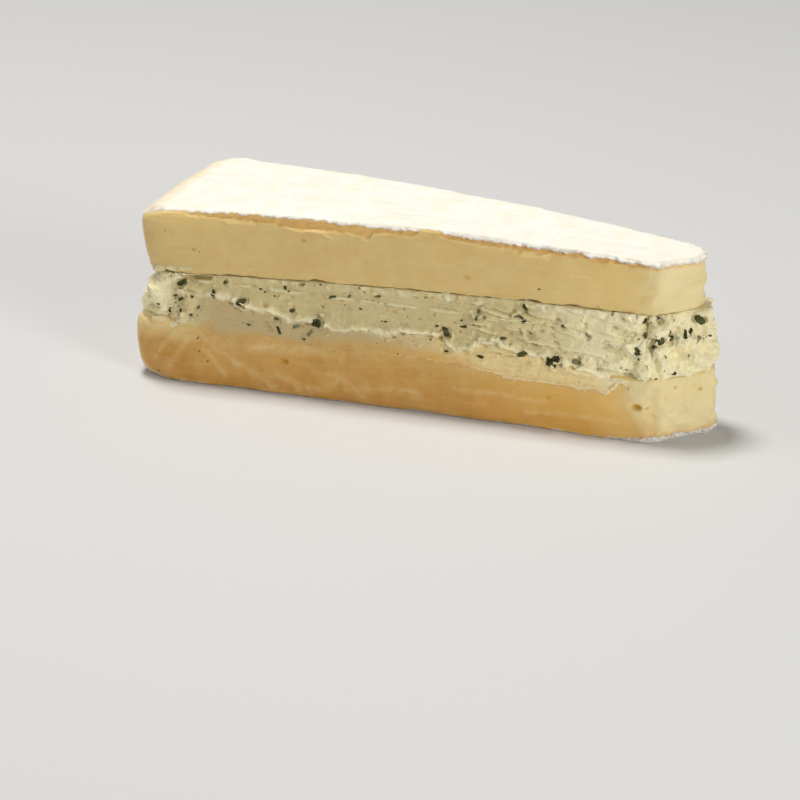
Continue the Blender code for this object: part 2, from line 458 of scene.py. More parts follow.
def nose_side(places, normals):
    """1 on the upright sides of the wedge's last few millimetres."""
    return soft_step(151 * MM, 157 * MM, places[:, 0]) * soft_step(0.6, 0.3, np.abs(normals[:, 2]))


def cut_relief(places, on_long_cuts, on_nose):
    """The faint drag lines and swells that every cut through firm paste has."""
    slanting = turned(places, 4.0)
    level = swells(slanting, (22 * MM, 22 * MM, 1.6 * MM), 1.0)
    fine = swells(slanting, (9 * MM, 9 * MM, 0.7 * MM), 5.0)
    wide = swells(places, (24 * MM, 24 * MM, 9 * MM), 2.0)
    dimples = swells(places, 5 * MM, 6.0)
    rough = swells(places, 1.3 * MM, 9.0)
    wavy = swells(places, (6 * MM, 6 * MM, 3.6 * MM), 4.0)
    drags = on_long_cuts * (0.15 * level + 0.07 * fine + 0.45 * wide + 0.24 * dimples)
    return (drags + on_nose * (0.8 * wavy + 0.3 * dimples + 0.1 * rough) + 0.05 * rough) * MM


def wrinkles(points):
    """Shallow creases of the rind, which run along the wedge."""
    swapped = [0, 2, 1]  # `turned` turns along and up, so across stands in for up
    slanting = turned(points[:, swapped], 8.0)[:, swapped]
    long_creases = crests(slanting, (40 * MM, 3.4 * MM, 9 * MM), 6.0)
    cross_creases = swells(points, (3.0 * MM, 14 * MM, 9 * MM), 7.0)
    dimples = swells(points, (15 * MM, 8 * MM, 9 * MM), 2.0)
    sag = swells(points, (34 * MM, 24 * MM, 30 * MM), 9.0)
    fur = swells(points, 0.9 * MM, 4.0)
    return (0.16 * long_creases + 0.07 * cross_creases + 0.28 * dimples + 0.3 * sag + 0.04 * fur) * MM


def shape_upper(piece):
    points = points_of(piece)
    normals = normals_of(piece)
    under_top = level_face(points, normals, 1) - points[:, 2]
    above_bottom = points[:, 2] - level_face(points, normals, -1)
    places = cut_places(points)
    on_front = face_share(normals, OUT_OF_CUT)
    on_back = face_share(-normals, OUT_OF_CUT)
    on_nose = np.maximum(face_share(normals, OUT_OF_NOSE), nose_side(places, normals))
    on_top = face_share(normals, (0, 0, 1), 0.6, 0.9)
    thickness = along_curve(places[:, 0], RIND_THICKNESS)
    rind = rind_share(points, normals, 1, under_top, thickness, 0.8 * MM)
    is_rind = soft_step(-0.05, 0.15, rind)
    points = round_rim(points, normals, -1, 0.6 * MM, 1.6 * MM, 0.5 * MM)
    points = round_rim(points, normals, 1, 1.2 * MM, 4.0 * MM, 0.5 * MM)
    lifted = np.clip(1.6 * swells(places, (7 * MM, 7 * MM, 30 * MM), 21.0) - 0.2, 0.0, 0.8)
    lifted += 0.2 * swells(places, (1.8 * MM, 1.8 * MM, 30 * MM), 22.0)
    points[:, 2] += MM * lifted * soft_step(5 * MM, 0.0, above_bottom)
    move = cut_relief(places, on_front + on_back, on_nose)
    for start, end, bow, width in UPPER_SCRATCHES:
        move += -0.08 * MM * scratch(places, on_front, start, end, bow, width)
    for start, end, bow, width in UPPER_RIDGES:
        move += 0.35 * MM * scratch(places, on_front, start, end, bow, width)
    for middle, reach, depth in UPPER_PITS:
        move += dent(places, on_front, middle, reach, depth)
    tear_low = along_curve(places[:, 0], TEAR) + MM * (
        0.7 * swells(places, 2.6 * MM, 3.0) + 0.45 * swells(places, 0.9 * MM, 4.0)
    )
    torn = on_front * soft_step(0.5, -0.3, (under_top - thickness - tear_low) / MM) * (1.0 - is_rind)
    torn *= soft_step(2 * MM, 20 * MM, places[:, 0])
    move -= (0.55 * MM + 0.45 * MM * swells(places, (2.4 * MM, 2.4 * MM, 1.0 * MM), 5.0)) * torn
    nicked = swells(places, (3 * MM, 3 * MM, 2 * MM), 12.0)
    move += 0.5 * MM * nicked * soft_step(1.6 * MM, 0.2 * MM, above_bottom) * (on_front + on_nose)
    move *= 1.0 - 0.7 * is_rind
    crumbly = is_rind * (1.0 - on_top) * (0.25 + 0.6 * swells(points, 1.5 * MM, 2.0))
    crumbly *= (on_front + on_nose) * (1.0 + 0.9 * soft_step(110 * MM, 150 * MM, places[:, 0]))
    move += crumbly * MM + is_rind * on_top * wrinkles(points)
    set_points(piece, points + normals * move[:, None])
    paint(piece, "rind", rind)
    paint(piece, "torn", torn)
    paint(piece, "rim", rim_share(points))
    # painted shade: darker along the bottom edge, in the gap above the cream
    paint(piece, "crease", soft_step(0.7 * MM, 0.1 * MM, above_bottom) * (1.0 - on_top))
    # painted light: the front's corner at the rind end and the cut near the nose are painted paler, as lit
    lit_corner = on_front * soft_step(34 * MM, 8 * MM, places[:, 0])
    lit_corner *= soft_step(8 * MM, 2 * MM, under_top)
    near_nose = soft_step(108 * MM, 152 * MM, places[:, 0] + 6 * MM * swells(points, 6 * MM, 14.0))
    paint(piece, "well_lit", np.maximum(lit_corner, 0.8 * near_nose))
    # the long cuts, where the material paints warm bounce light and shade
    paint(piece, "long_cut", long_cut_share(points, normals))
    # depth of hollows, which the material paints as shade
    paint(piece, "hollow", hollows(piece, HOLLOW_PASSES))
    return is_rind


upper_is_rind = shape_upper(upper)
print("rind covers", round(100 * float(upper_is_rind.mean())), "% of the upper half's points")

# %% [markdown]
# ## The lower brie
#
# The lower half has its rind underneath, where it only shows as a thin ragged rim along the board,
# and on the rind end. It carries all the weight, so its front is rubbed and scratched, and a few gas
# holes show as small dimples, painted darker and golden inside as shade.

# %% Lower brie: the fine net
LOWER_NET = 0.42 * MM
lower = copy_of_node("lower_brie", "lower_half")
fine_net(lower, LOWER_NET, smoothing=6)
soften_corners(lower, CORNER_PASSES)
close_hidden_face(lower, upward=1, margin=HIDDEN_MARGIN)
print("lower half:", triangles_of(lower), "triangles")

# %% [markdown]
# ### Scratches, holes and rind of the lower brie
#
# The same tools shape this half. The holes are deeper than the pits of the upper brie, and their
# mask is painted on the points as well, because the inside of a hole is painted darker and more
# golden, as shade. `SMEAR_END` is the height at which the smeared cream ends. It is needed here
# already, because a thin film of cream lies on the paste just below it.

# %% Lower brie: shape
LOWER_SCRATCHES = [((0, 8), (7, 17), 0.6, 1.2), ((5, 6), (12, 16), 0.8, 1.4),
                   ((14, 18), (25, 10), -0.8, 1.3), ((16, 13), (22, 5), 0.6, 1.5),
                   ((26, 9), (38, 2), 0.8, 1.4), ((46, 3), (60, 8), -1.6, 1.5),
                   ((40, 7), (52, 4), -1.0, 1.2), ((44, 16), (60, 15), 0.8, 1.6),
                   ((56, 9), (66, 4), 1.2, 1.3), ((62, 5), (84, 7), 0.9, 1.2),
                   ((96, 10), (124, 9), 0.7, 1.0), ((118, 5), (146, 6), 0.7, 0.9),
                   ((30, 14), (42, 16), 0.8, 1.2)]
HOLES = [((41.6, 11.5), (1.7, 0.8), 1.1), ((124.9, 11.1), (1.0, 0.5), 0.5),
         ((152.3, 11.4), (1.9, 1.1), 1.3), ((155.6, 11.6), (0.8, 0.4), 0.5),
         ((65.0, 12.4), (0.7, 0.4), 0.4)]
NOSE_HOLES = [((14.6, 15.2), (0.9, 0.6), 0.6), ((6.0, 17.2), (0.6, 0.4), 0.4)]
SMEAR_END = [(0, 19.5), (6, 17.8), (16, 18.4), (22, 15.5), (48, 16.2), (62, 18.4), (80, 18.6),
             (92, 18.0), (103, 17.2), (116, 14.8), (128, 15.5), (134, 14.9), (140, 15.1), (143, 14.7),
             (145, 16.2), (147, 18.6), (150, 19.8), (154, 20.4), (158, 20.4)]


def shape_lower(piece):
    points = points_of(piece)
    normals = normals_of(piece)
    under_top = level_face(points, normals, 1) - points[:, 2]
    places = cut_places(points)
    nose = nose_places(points)
    on_front = face_share(normals, OUT_OF_CUT)
    on_back = face_share(-normals, OUT_OF_CUT)
    on_nose = np.maximum(face_share(normals, OUT_OF_NOSE), nose_side(places, normals))
    on_under = face_share(normals, (0, 0, -1), 0.6, 0.9)
    thickness = (0.5 + 1.9 * soft_step(142 * MM, 157 * MM, places[:, 0])) * MM
    rind = rind_share(points, normals, -1, points[:, 2], thickness, 0.8 * MM)
    is_rind = soft_step(-0.05, 0.15, rind)
    points = round_rim(points, normals, -1, 1.8 * MM, 4.0 * MM, 0.5 * MM)
    points = round_rim(points, normals, 1, 1.0 * MM, 2.0 * MM, 0.7 * MM)
    move = cut_relief(places, on_front + on_back, on_nose)
    rubbed = np.zeros(len(points))
    for start, end, bow, width in LOWER_SCRATCHES:
        line = scratch(places, on_front, start, end, bow, width)
        move += 0.30 * MM * line * (0.7 + swells(places, 2.5 * MM, 7.0))
        rubbed = np.maximum(rubbed, line)
    # painted shade: how far each point lies inside a hole, which the material paints darker and golden
    hole_shade = np.zeros(len(points))
    for cut, on_cut, holes in ((places, on_front, HOLES), (nose, on_nose, NOSE_HOLES)):
        for middle, reach, depth in holes:
            hole = dent(cut, on_cut, middle, reach, depth)
            move += hole
            hole_shade = np.maximum(hole_shade, -hole / (depth * MM))
    slanting = turned(places, -38.0)
    dragged = on_front * soft_step(50 * MM, 15 * MM, places[:, 0])
    move += 0.45 * MM * dragged * swells(slanting, (3.4 * MM, 3.4 * MM, 12 * MM), 4.0)
    shoulder = on_front * soft_step(10 * MM, 2 * MM, places[:, 0]) * soft_step(5 * MM, 1 * MM, under_top)
    bulges = 0.7 + 1.2 * swells(places, 2.2 * MM, 6.0) + 0.6 * swells(places, 0.9 * MM, 7.0)
    move += MM * shoulder * bulges
    nicked = swells(places, (2.6 * MM, 2.6 * MM, 1.6 * MM), 12.0)
    move += 0.8 * MM * nicked * soft_step(2.4 * MM, 0.4 * MM, under_top) * on_nose
    move += 0.7 * MM * on_nose * swells(points, (3.2 * MM, 3.2 * MM, 2.4 * MM), 19.0)
    crumbly = is_rind * (1.0 - on_under) * (0.25 + 0.5 * swells(points, 1.3 * MM, 2.0))
    crumbly *= np.maximum(on_front, on_nose) * (1.0 + 1.2 * soft_step(120 * MM, 150 * MM, places[:, 0]))
    move = move * (1.0 - 0.7 * is_rind) * (1.0 - on_under) + crumbly * MM
    moved = points + normals * move[:, None]
    moved[:, 2] = np.maximum(moved[:, 2], 0.0)
    set_points(piece, moved)
    film_end = along_curve(places[:, 0], SMEAR_END) - 1.5 * MM + 1.2 * MM * swells(places, 4 * MM, 5.0)
    paint(piece, "rind", rind)
    paint(piece, "hole_shade", hole_shade)
    paint(piece, "rubbed", rubbed)
    paint(piece, "film", on_front * soft_step(-2.5 * MM, 2.0 * MM, places[:, 2] - film_end))
    # painted shade: darker along the top edge, in the gap under the cream
    paint(piece, "crease", soft_step(1.0 * MM, 0.2 * MM, under_top) * (on_nose + on_front))
    # painted light: the shoulder at the rind end is painted as lit
    lit = soft_step(16 * MM, 7 * MM, places[:, 0])
    lit *= soft_step(9 * MM, 2 * MM, under_top + MM * swells(points, 3 * MM, 5.0))
    higher_up = places[:, 0] - 0.8 * np.clip(12 * MM - places[:, 2], 0.0, None)
    # painted light: near the nose the front is painted as lit like the nose, without the bounce tint
    lit_like_nose = soft_step(144 * MM, 152 * MM, higher_up + 2 * MM * swells(points, 3 * MM, 16.0)) * on_front
    # the long cuts, where the material paints warm bounce light and shade
    paint(piece, "long_cut", long_cut_share(points, normals) * (1.0 - lit_like_nose) * (1.0 - 0.6 * lit))
    # painted light: the lower front is painted brighter towards the nose
    paint(piece, "towards_nose", soft_step(85 * MM, 135 * MM, places[:, 0]))
    before_nose = soft_step(150 * MM, 135 * MM, places[:, 0]) * on_front
    paint(piece, "rim", np.maximum(rim_share(points), before_nose))
    # painted light: the cut near the nose is painted paler, as lit
    near_nose = soft_step(134 * MM, 153 * MM, places[:, 0] + 4 * MM * swells(points, 4 * MM, 14.0))
    near_nose *= 1.0 - 0.4 * soft_step(14 * MM, 4 * MM, places[:, 2])
    paint(piece, "well_lit", np.maximum(lit, near_nose))
    # painted warm bounce light: the front is painted darker and warmer low down
    paint(piece, "low_down", soft_step(18 * MM, 1 * MM, points[:, 2]) * on_front)
    # depth of hollows, which the material paints as shade
    paint(piece, "hollow", hollows(piece, HOLLOW_PASSES))


shape_lower(lower)
print("lower half has", len(HOLES) + len(NOSE_HOLES), "holes")

# %% [markdown]
# ## The herbed cream cheese
#
# The cream is soft, so the knife dragged it. It smoothed a band under the upper brie, pushed a lip
# of cream down along the cut, and smeared what was left over the lower brie. At the nose and at the
# rind end it broke instead, so there it is lumpy. The smear hangs lower than the solid of
# the filling, so a slab is joined to the copy before the remesh, and the relief below gives it
# its thin uneven edge: where the relief sinks behind the lower brie's face, the smear ends.

# %% Filling: body and slab
FILLING_NET = 0.31 * MM
SLAB_TOP, SLAB_BOTTOM, SLAB_DEPTH = 34 * MM, 11.5 * MM, 2.4 * MM
filling = copy_of_node("herb_filling", "herbed_cream")
slab_middle = CUT_START + ALONG_CUT * HALF_WAY - OUT_OF_CUT * (SLAB_DEPTH / 2 - 0.1 * MM)
slab_middle.z = (SLAB_TOP + SLAB_BOTTOM) / 2
bpy.ops.object.select_all(action="DESELECT")
bpy.ops.mesh.primitive_cube_add(size=1.0, location=slab_middle, rotation=(0, 0, CUT_TURN))
slab = bpy.context.object
slab.scale = (CUT_LENGTH - 8 * MM, SLAB_DEPTH, SLAB_TOP - SLAB_BOTTOM)
bpy.ops.object.transform_apply(location=True, rotation=True, scale=True)
filling.select_set(True)
bpy.context.view_layer.objects.active = filling
bpy.ops.object.join()
fine_net(filling, FILLING_NET, smoothing=4)
close_hidden_face(filling, upward=1, margin=HIDDEN_MARGIN)
close_hidden_face(filling, upward=-1, margin=HIDDEN_MARGIN)
print("filling:", triangles_of(filling), "triangles")

# %% [markdown]
# ### The knife's lip and the smear
#
# `LIP` is the height of the lip along the cut, a given curve like `SMEAR_END`. Above the lip
# the cream slopes back under the upper brie, and below it drops in a short step. Left of the middle
# the band above the lip is smooth, with a few long strips. Towards the nose short strips lie over
# each other like shingles, and the smear is thicker and ends in a small bead.

# %% Filling: the relief of the front
LIP = [(16, 30.0), (21, 30.3), (26, 29.9), (32, 28.1), (39, 26.9), (45, 25.7), (52, 26.4), (57, 24.4),
       (63, 25.2), (76, 25.3), (84, 26.2), (88, 27.1), (92, 26.8), (94, 24.2), (96, 23.0), (101, 23.6),
       (104, 26.0), (107, 27.4), (110, 27.2), (113, 26.0), (119, 24.8), (126, 23.8), (143, 20.3),
       (158, 19.0)]
LIP_BEGINS = (13 * MM, 20 * MM)
LIP_ENDS = (150 * MM, 138 * MM)
SHINGLES_BEGIN = (90 * MM, 108 * MM)
SHINGLES, LONG_STRIPS = 62, 26


def smear_end(flat):
    """The height at which the smear ends, ragged along the cut."""
    ragged = 0.9 * swells(flat, (5 * MM, 1.0, 4 * MM), 8.0) + 0.6 * swells(flat, 1.6 * MM, 9.0)
    return along_curve(flat[:, 0], SMEAR_END) + ragged * MM


strokes_draw = random.Random(23)


def strokes(flat, count, stations, heights, lengths, widths, rises):
    """Strips that the knife laid over each other, soft above and with a sharp lower edge."""
    relief = np.zeros(len(flat))
    wavy = 0.35 * swells(flat, (4 * MM, 1.0, 3 * MM), 41.0) + 0.2 * swells(flat, 1.2 * MM, 42.0)
    for _strip in range(count):
        middle = np.array((strokes_draw.uniform(*stations), 0.0, strokes_draw.uniform(*heights))) * MM
        length = strokes_draw.uniform(*lengths) * MM
        width = strokes_draw.uniform(*widths) * MM
        placed = turned(flat - middle, strokes_draw.uniform(-14.0, -3.0))
        along = 2.0 * placed[:, 0] / length
        across = placed[:, 2] / width + wavy + 0.3 * along * strokes_draw.uniform(-1.0, 1.0)
        tapered = np.sqrt(np.clip(1.0 - along**2, 0.0, 1.0))
        profile = soft_step(-0.35, 0.0, across) * np.exp(-(np.clip(across, 0.0, None) ** 2))
        relief = np.maximum(relief, strokes_draw.uniform(*rises) * tapered * profile)
    return relief


def front_relief(places, under_top):
    """How far the cream stands out of the cut, how much is smeared below the lip, how thin it is, and
    where a painted highlight goes.
    """
    along, height = places[:, 0], places[:, 2]
    flat = places * np.array((1.0, 0.0, 1.0))
    line = places * np.array((1.0, 0.0, 0.0))
    bent = flat.copy()
    bent[:, 2] += 1.5 * MM * swells(flat, (6 * MM, 1.0, 4 * MM), 31.0)
    ragged = 1.1 * swells(line, 7 * MM, 1.0) + 0.9 * swells(flat, 3.0 * MM, 2.0)
    ragged += 0.5 * swells(flat, 1.2 * MM, 3.0)
    lip_height = along_curve(along, LIP) + ragged * MM
    has_lip = soft_step(*LIP_BEGINS, along) * soft_step(*LIP_ENDS, along)
    right = soft_step(*SHINGLES_BEGIN, along)
    past_lip = soft_step(108 * MM, 134 * MM, along)
    lip_size = np.clip(1.0 + 1.5 * swells(line, 4.5 * MM, 3.0), 0.25, 1.9) * has_lip
    lip_size += (0.5 * swells(flat, (2.0 * MM, 1.0, 1.2 * MM), 28.0) + 0.5 * right) * has_lip
    lip_size += 0.4 * soft_step(50 * MM, 60 * MM, along) * has_lip
    above = (height - lip_height) / MM
    soft = swells(flat, (9 * MM, 1.0, 3.6 * MM), 6.0)
    level_streaks = crests(turned(bent, -4.0), (14 * MM, 1.0, 1.5 * MM), 4.0)
    small_streaks = crests(turned(bent, -9.0), (6 * MM, 1.0, 0.9 * MM), 5.0)
    thin_layers = torn_layers(turned(bent, -14.0), (6 * MM, 1.0, 2.0 * MM), 1.3 * MM, 19.0) - 0.5
    torn = soft_step(-0.3, 0.2, swells(flat, (11 * MM, 1.0, 5 * MM), 17.0))
    broken = soft_step(0.0, 0.4, swells(flat, (10 * MM, 1.0, 5 * MM), 11.0))
    grain = swells(flat, 0.9 * MM, 13.0)
    curds = swells(flat, 2.0 * MM, 14.0)
    strips = strokes(flat, SHINGLES, (96, 156), (17, 40), (5, 16), (0.8, 2.4), (0.3, 1.7))
    strips += 0.18 * torn * thin_layers + 0.07 * small_streaks - 0.4
    long_strips = strokes(flat, LONG_STRIPS, (20, 96), (26, 38), (8, 26), (0.6, 1.5), (0.12, 0.4))
    recess = (1.0 - 0.4 * right) * soft_step(153 * MM, 140 * MM, along)
    band = -recess + (recess - 0.1) * np.exp(-np.clip(above, 0.0, None) / 3.5)
    band += lip_size * np.exp(-np.clip(above, 0.0, None) / 0.9)
    streaks = 0.08 * level_streaks + long_strips + 0.25 * broken * thin_layers
    band += 0.35 * soft + (1.0 - right) * streaks
    band += right * strips + (0.07 + 0.16 * broken) * grain + 0.22 * (broken + right) * curds
    at_top = soft_step(2.2 * MM, 0.4 * MM, under_top + 0.8 * MM * swells(flat, 2.2 * MM, 23.0))
    top_edge = -0.15 + 0.55 * swells(flat, 2.4 * MM, 24.0) + 0.2 * grain
    band += (top_edge - band) * at_top * (1.0 - 0.5 * right)
    over_end = (height - smear_end(flat)) / MM
    smear = 0.20 + 0.35 * right + 0.25 * soft + (0.08 + 0.1 * right) * level_streaks
    smear += right * (0.6 * strips + 0.2 * curds) + 0.08 * grain
    feather = soft_step(-0.6, 5.0 - 4.0 * right, over_end)
    smear = -0.12 + (smear + 0.12) * feather ** (1.0 - 0.5 * right)
    smear += 0.45 * right * np.exp(-(((over_end - 0.7) / 0.6) ** 2))
    smear -= 1.3 * soft_step(0.0, -1.2, over_end)
    below = smear + (lip_size - smear) * np.exp(-((above / (0.45 + 0.3 * right)) ** 2))
    relief = np.where(above > 0.0, band, below) * MM
    smeared = soft_step(-0.2, -1.2, above) * has_lip
    thin = 1.0 - soft_step(0.3, 5.0 - 2.4 * right, over_end)
    thin *= soft_step(152 * MM, 138 * MM, along)
    # painted highlight where the lip, a bead at the smear's end and a strip under the upper brie catch the
    # light
    catches_light = np.clip(0.8 + 1.2 * swells(flat, (4 * MM, 1.0, 2 * MM), 26.0), 0.3, 1.0)
    painted_highlight = has_lip * (1.0 - 0.6 * past_lip) * np.exp(-(((above + 0.1) / 0.9) ** 2))
    painted_highlight = np.maximum(painted_highlight, 0.6 * right * np.exp(-(((over_end - 0.8) / 0.6) ** 2)))
    under_upper = soft_step(40 * MM, 60 * MM, along) * np.exp(-(((under_top / MM - 1.6) / 0.8) ** 2))
    under_upper *= soft_step(-0.1, 0.3, swells(line, 6 * MM, 27.0))
    painted_highlight = np.maximum(painted_highlight, under_upper) * catches_light
    return relief, smeared, thin, painted_highlight


def lumps(points, size, seed):
    """Broken, crumbly cream: soft lumps with torn crests on them."""
    big = swells(points, 1.3 * size, seed)
    torn = crests(points, 0.6 * size, seed + 3.0)
    small = swells(points, 0.25 * size, seed + 6.0)
    return 1.9 * big + 0.22 * torn + 0.16 * small


print("lip half way:", round(float(along_curve(HALF_WAY, LIP)) / MM, 1), "mm high")

# %% [markdown]
# ### Moving the cream's points
#
# On the front the relief replaces the old distance from the cut. Everywhere else lumps are
# added to the shape that is there. `RIFTS` are the cracks where the cream broke at the nose's corner,
# given along the nose. Last come the pits, which small curds left when they were pulled out, and
# the small blobs. Both are placed by a seeded random choice of points.

# %% Filling: shape
pits_draw = random.Random(5)
RIND_END_BREAKS = (20 * MM, 10 * MM)
NOSE_BREAKS = (140 * MM, 152 * MM)
LONG_PITS, ROUND_PITS, BLOBS = 110, 100, 230


def pressed(places, share, count, reaches, depths, stretch):
    """Pits, or blobs if depths are below 0, at points drawn by chance, more where share is large."""
    move = np.zeros(len(places))
    squeezed = places * np.array((1.0 / stretch, 1.0, 1.0))
    tree = search_tree(squeezed.tolist())
    made = 0
    while made < count:
        index = pits_draw.randrange(len(places))
        if pits_draw.random() > share[index]:
            continue
        reach = pits_draw.uniform(*reaches) * MM
        depth = pits_draw.uniform(*depths) * MM
        for _place, near, distance in tree.find_range(squeezed[index], reach):
            push = -depth * (1.0 - (distance / reach) ** 2)
            move[near] = max(move[near], push) if depth < 0.0 else min(move[near], push)
        made += 1
    return move


RIFTS = [((-2.2, 37.4), (1.1, 2.8), 1.8), ((-1.5, 30.6), (0.9, 3.2), 1.7), ((-0.3, 25.2), (0.9, 2.8), 1.5),
         ((3.2, 31.2), (1.3, 0.8), 1.0), ((9.4, 33.0), (1.5, 0.8), 1.0)]


def shape_filling(piece):
    points = points_of(piece)
    normals = normals_of(piece)
    places = cut_places(points)
    bend = swells(points, 2.4 * MM, 36.0)[:, None]
    bent_nose = nose_places(points) + MM * np.array((0.8, 0.0, 0.6)) * bend
    along, height = places[:, 0], places[:, 2]
    under_top = level_face(points, normals, 1) - height
    in_slab = (places[:, 1] > -1.2 * MM) * (height < 33 * MM) * (along < 153 * MM)
    on_front = np.maximum(face_share(normals, OUT_OF_CUT, 0.85, 0.97), in_slab)
    on_back = face_share(-normals, OUT_OF_CUT)
    sideways = soft_step(0.75, 0.5, np.abs(normals[:, 2]))
    at_rind = soft_step(*RIND_END_BREAKS, along)
    at_nose = soft_step(*NOSE_BREAKS, along)
    broken = np.clip(at_rind + at_nose, 0.0, 1.0)
    relief, smeared, thin, painted_highlight = front_relief(places, under_top)
    step_out = (relief - places[:, 1]) * on_front * soft_step(-1 * MM, 4 * MM, along)
    moved = points + np.array(OUT_OF_CUT) * step_out[:, None]
    pushed_up = np.clip(0.4 + 1.2 * swells(places, (5 * MM, 5 * MM, 9 * MM), 33.0), 0.0, 1.0)
    moved[:, 2] += (0.35 + 0.6 * pushed_up) * MM * on_front * soft_step(1.6 * MM, 0.2 * MM, under_top)
    crumbly = lumps(points, 3.4 * MM, 1.0)
    gentle = 0.45 * swells(points, 6 * MM, 2.0) + 0.12 * crests(points, (9 * MM, 9 * MM, 1.6 * MM))
    rough = at_rind + 1.8 * at_nose
    amount = sideways * (rough * (0.95 * crumbly - 0.1) + (1.0 - broken) * on_back * gentle)
    amount *= soft_step(19 * MM, 21 * MM, height)
    gap = dent(places, on_front, (13.0, 35.6), (6.0, 1.8), 2.6)
    gap += dent(places, on_front, (154.2, 36.4), (1.4, 3.4), 2.4)
    near_corner = sideways * (places[:, 1] > -14 * MM) * (along > 145 * MM)
    for middle, reach, depth in RIFTS:
        gap += dent(bent_nose, near_corner, middle, reach, depth)
    open_cream = sideways * (height > 21 * MM)
    dragged = open_cream * (0.3 + 0.7 * on_front) * (1.0 - broken)
    crumbled = open_cream * (0.05 + 0.95 * broken)
    anywhere = open_cream * (0.6 + 0.2 * broken)
    long_pits = pressed(places, dragged, LONG_PITS, (0.3, 0.8), (0.4, 1.1), 2.2)
    round_pits = pressed(places, crumbled, ROUND_PITS, (0.4, 1.2), (0.3, 1.2), 1.0)
    blobs = pressed(places, anywhere, BLOBS, (0.4, 1.0), (-0.6, -0.25), 1.2)
    moved += normals * (amount * MM + gap + (long_pits + round_pits + blobs) * sideways)[:, None]
    set_points(piece, moved)
    # the long cuts, where the material paints warm bounce light and shade
    paint(piece, "long_cut", long_cut_share(points, normals))
    # painted light: the cream near the nose, at the rind end and off the front is painted paler, as well
    # lit
    patchy = 4 * MM * swells(points, 5 * MM, 25.0)
    well_lit = soft_step(110 * MM, 147 * MM, along + patchy) + soft_step(10 * MM, 3 * MM, along + patchy)
    paint(piece, "well_lit", np.maximum(well_lit, 1.0 - on_front))
    # painted highlight on the lip, the smear's bead and under the upper brie
    paint(piece, "painted_highlight", on_front * painted_highlight)
    # painted shade: darker along the top edge, in the gap under the upper brie
    paint(piece, "crease", soft_step(0.9 * MM, 0.2 * MM, under_top) * sideways)
    paint(piece, "thin", on_front * thin * (1.0 - at_rind))
    # the smear below the lip, painted golden with painted shade under the lip
    smeared *= soft_step(6 * MM, 14 * MM, along) * soft_step(157 * MM, 151 * MM, along)
    paint(piece, "smeared", on_front * smeared)
    # the smear is painted paler towards the nose, with painted highlight
    paint(piece, "towards_nose", soft_step(62 * MM, 108 * MM, along + patchy))


shape_filling(filling)
apply_modifier(filling, "SMOOTH", factor=0.25, iterations=1)
print("cream:", triangles_of(filling), "triangles")

# %% [markdown]
# ## Herbs
#
# Chopped herbs are never alike, but four shapes are enough: a folded leaf flake, a slice of
# chive, a thin sliver of stem and a crumb. Each is modelled once, one unit long, and every copy gets
# its own length, turn and shade. A shape that is used hundreds of times stays at a few dozen faces.
# The lump is a bit of paste, which is laid on the cheese in the same way, so it may be rounder.
# Each straight side of the leaf has the direction it faces and how far out it lies.

# %% Herb shapes
def finish_shape(piece, name):
    piece.name = name
    only(piece)
    bpy.ops.object.shade_smooth()
    return piece


LEAF_SIDES = [(15, 0.42), (95, 0.31), (165, 0.44), (235, 0.40), (305, 0.33)]


def leaf_flake():
    """A chopped piece of leaf: flat, cut straight on some sides and creased along its vein."""
    bpy.ops.object.select_all(action="DESELECT")
    bpy.ops.mesh.primitive_uv_sphere_add(segments=12, ring_count=6, radius=0.62)
    piece = bpy.context.object
    points = points_of(piece)
    points *= 1.0 + 0.45 * swells(points, 0.45, 4.0)[:, None]
    for angle, reach in LEAF_SIDES:
        side = np.array((math.cos(math.radians(angle)), math.sin(math.radians(angle)), 0.0))
        beyond = points @ side - reach + 0.35 * points[:, 2]
        points -= side * np.clip(beyond, 0.0, None)[:, None]
    along, across = 1.12 * points[:, 0], 1.12 * points[:, 1]
    crease = 0.05 * np.exp(-((across / 0.08) ** 2))
    rise = 0.42 * points[:, 2] + 0.12 * along - 0.30 * along**2 - 0.10 * across - crease
    set_points(piece, np.column_stack((along, across, rise)))
    return finish_shape(piece, "leaf_flake_shape")


def chive_slice():
    bpy.ops.object.select_all(action="DESELECT")
    bpy.ops.mesh.primitive_cylinder_add(
        vertices=10, radius=0.26, depth=1.0, end_fill_type="NOTHING", rotation=(0, math.pi / 2, 0)
    )
    piece = bpy.context.object
    bpy.ops.object.transform_apply(location=True, rotation=True, scale=True)
    points = points_of(piece)
    points[:, 0] += 0.25 * points[:, 1]
    points[:, 1] *= 1.3
    set_points(piece, points)
    apply_modifier(piece, "SOLIDIFY", thickness=0.09, offset=-1.0)
    return finish_shape(piece, "chive_slice_shape")


def stem_sliver():
    bpy.ops.object.select_all(action="DESELECT")
    bpy.ops.mesh.primitive_grid_add(x_subdivisions=7, y_subdivisions=2, size=1.0)
    piece = bpy.context.object
    points = points_of(piece)
    along = points[:, 0].copy()
    points[:, 1] = points[:, 1] * (0.42 - 0.9 * along**2) + 0.6 * along**2
    points[:, 2] = 0.16 * np.cos(4.0 * along)
    set_points(piece, points)
    apply_modifier(piece, "SOLIDIFY", thickness=0.10, offset=-1.0)
    return finish_shape(piece, "stem_sliver_shape")


def herb_crumb():
    bpy.ops.object.select_all(action="DESELECT")
    bpy.ops.mesh.primitive_uv_sphere_add(segments=8, ring_count=5, radius=0.5)
    piece = bpy.context.object
    points = points_of(piece)
    uneven = 1.0 + 0.45 * swells(points, 0.45, 2.0)
    set_points(piece, points * uneven[:, None] * np.array((1.0, 0.7, 0.45)))
    return finish_shape(piece, "herb_crumb_shape")


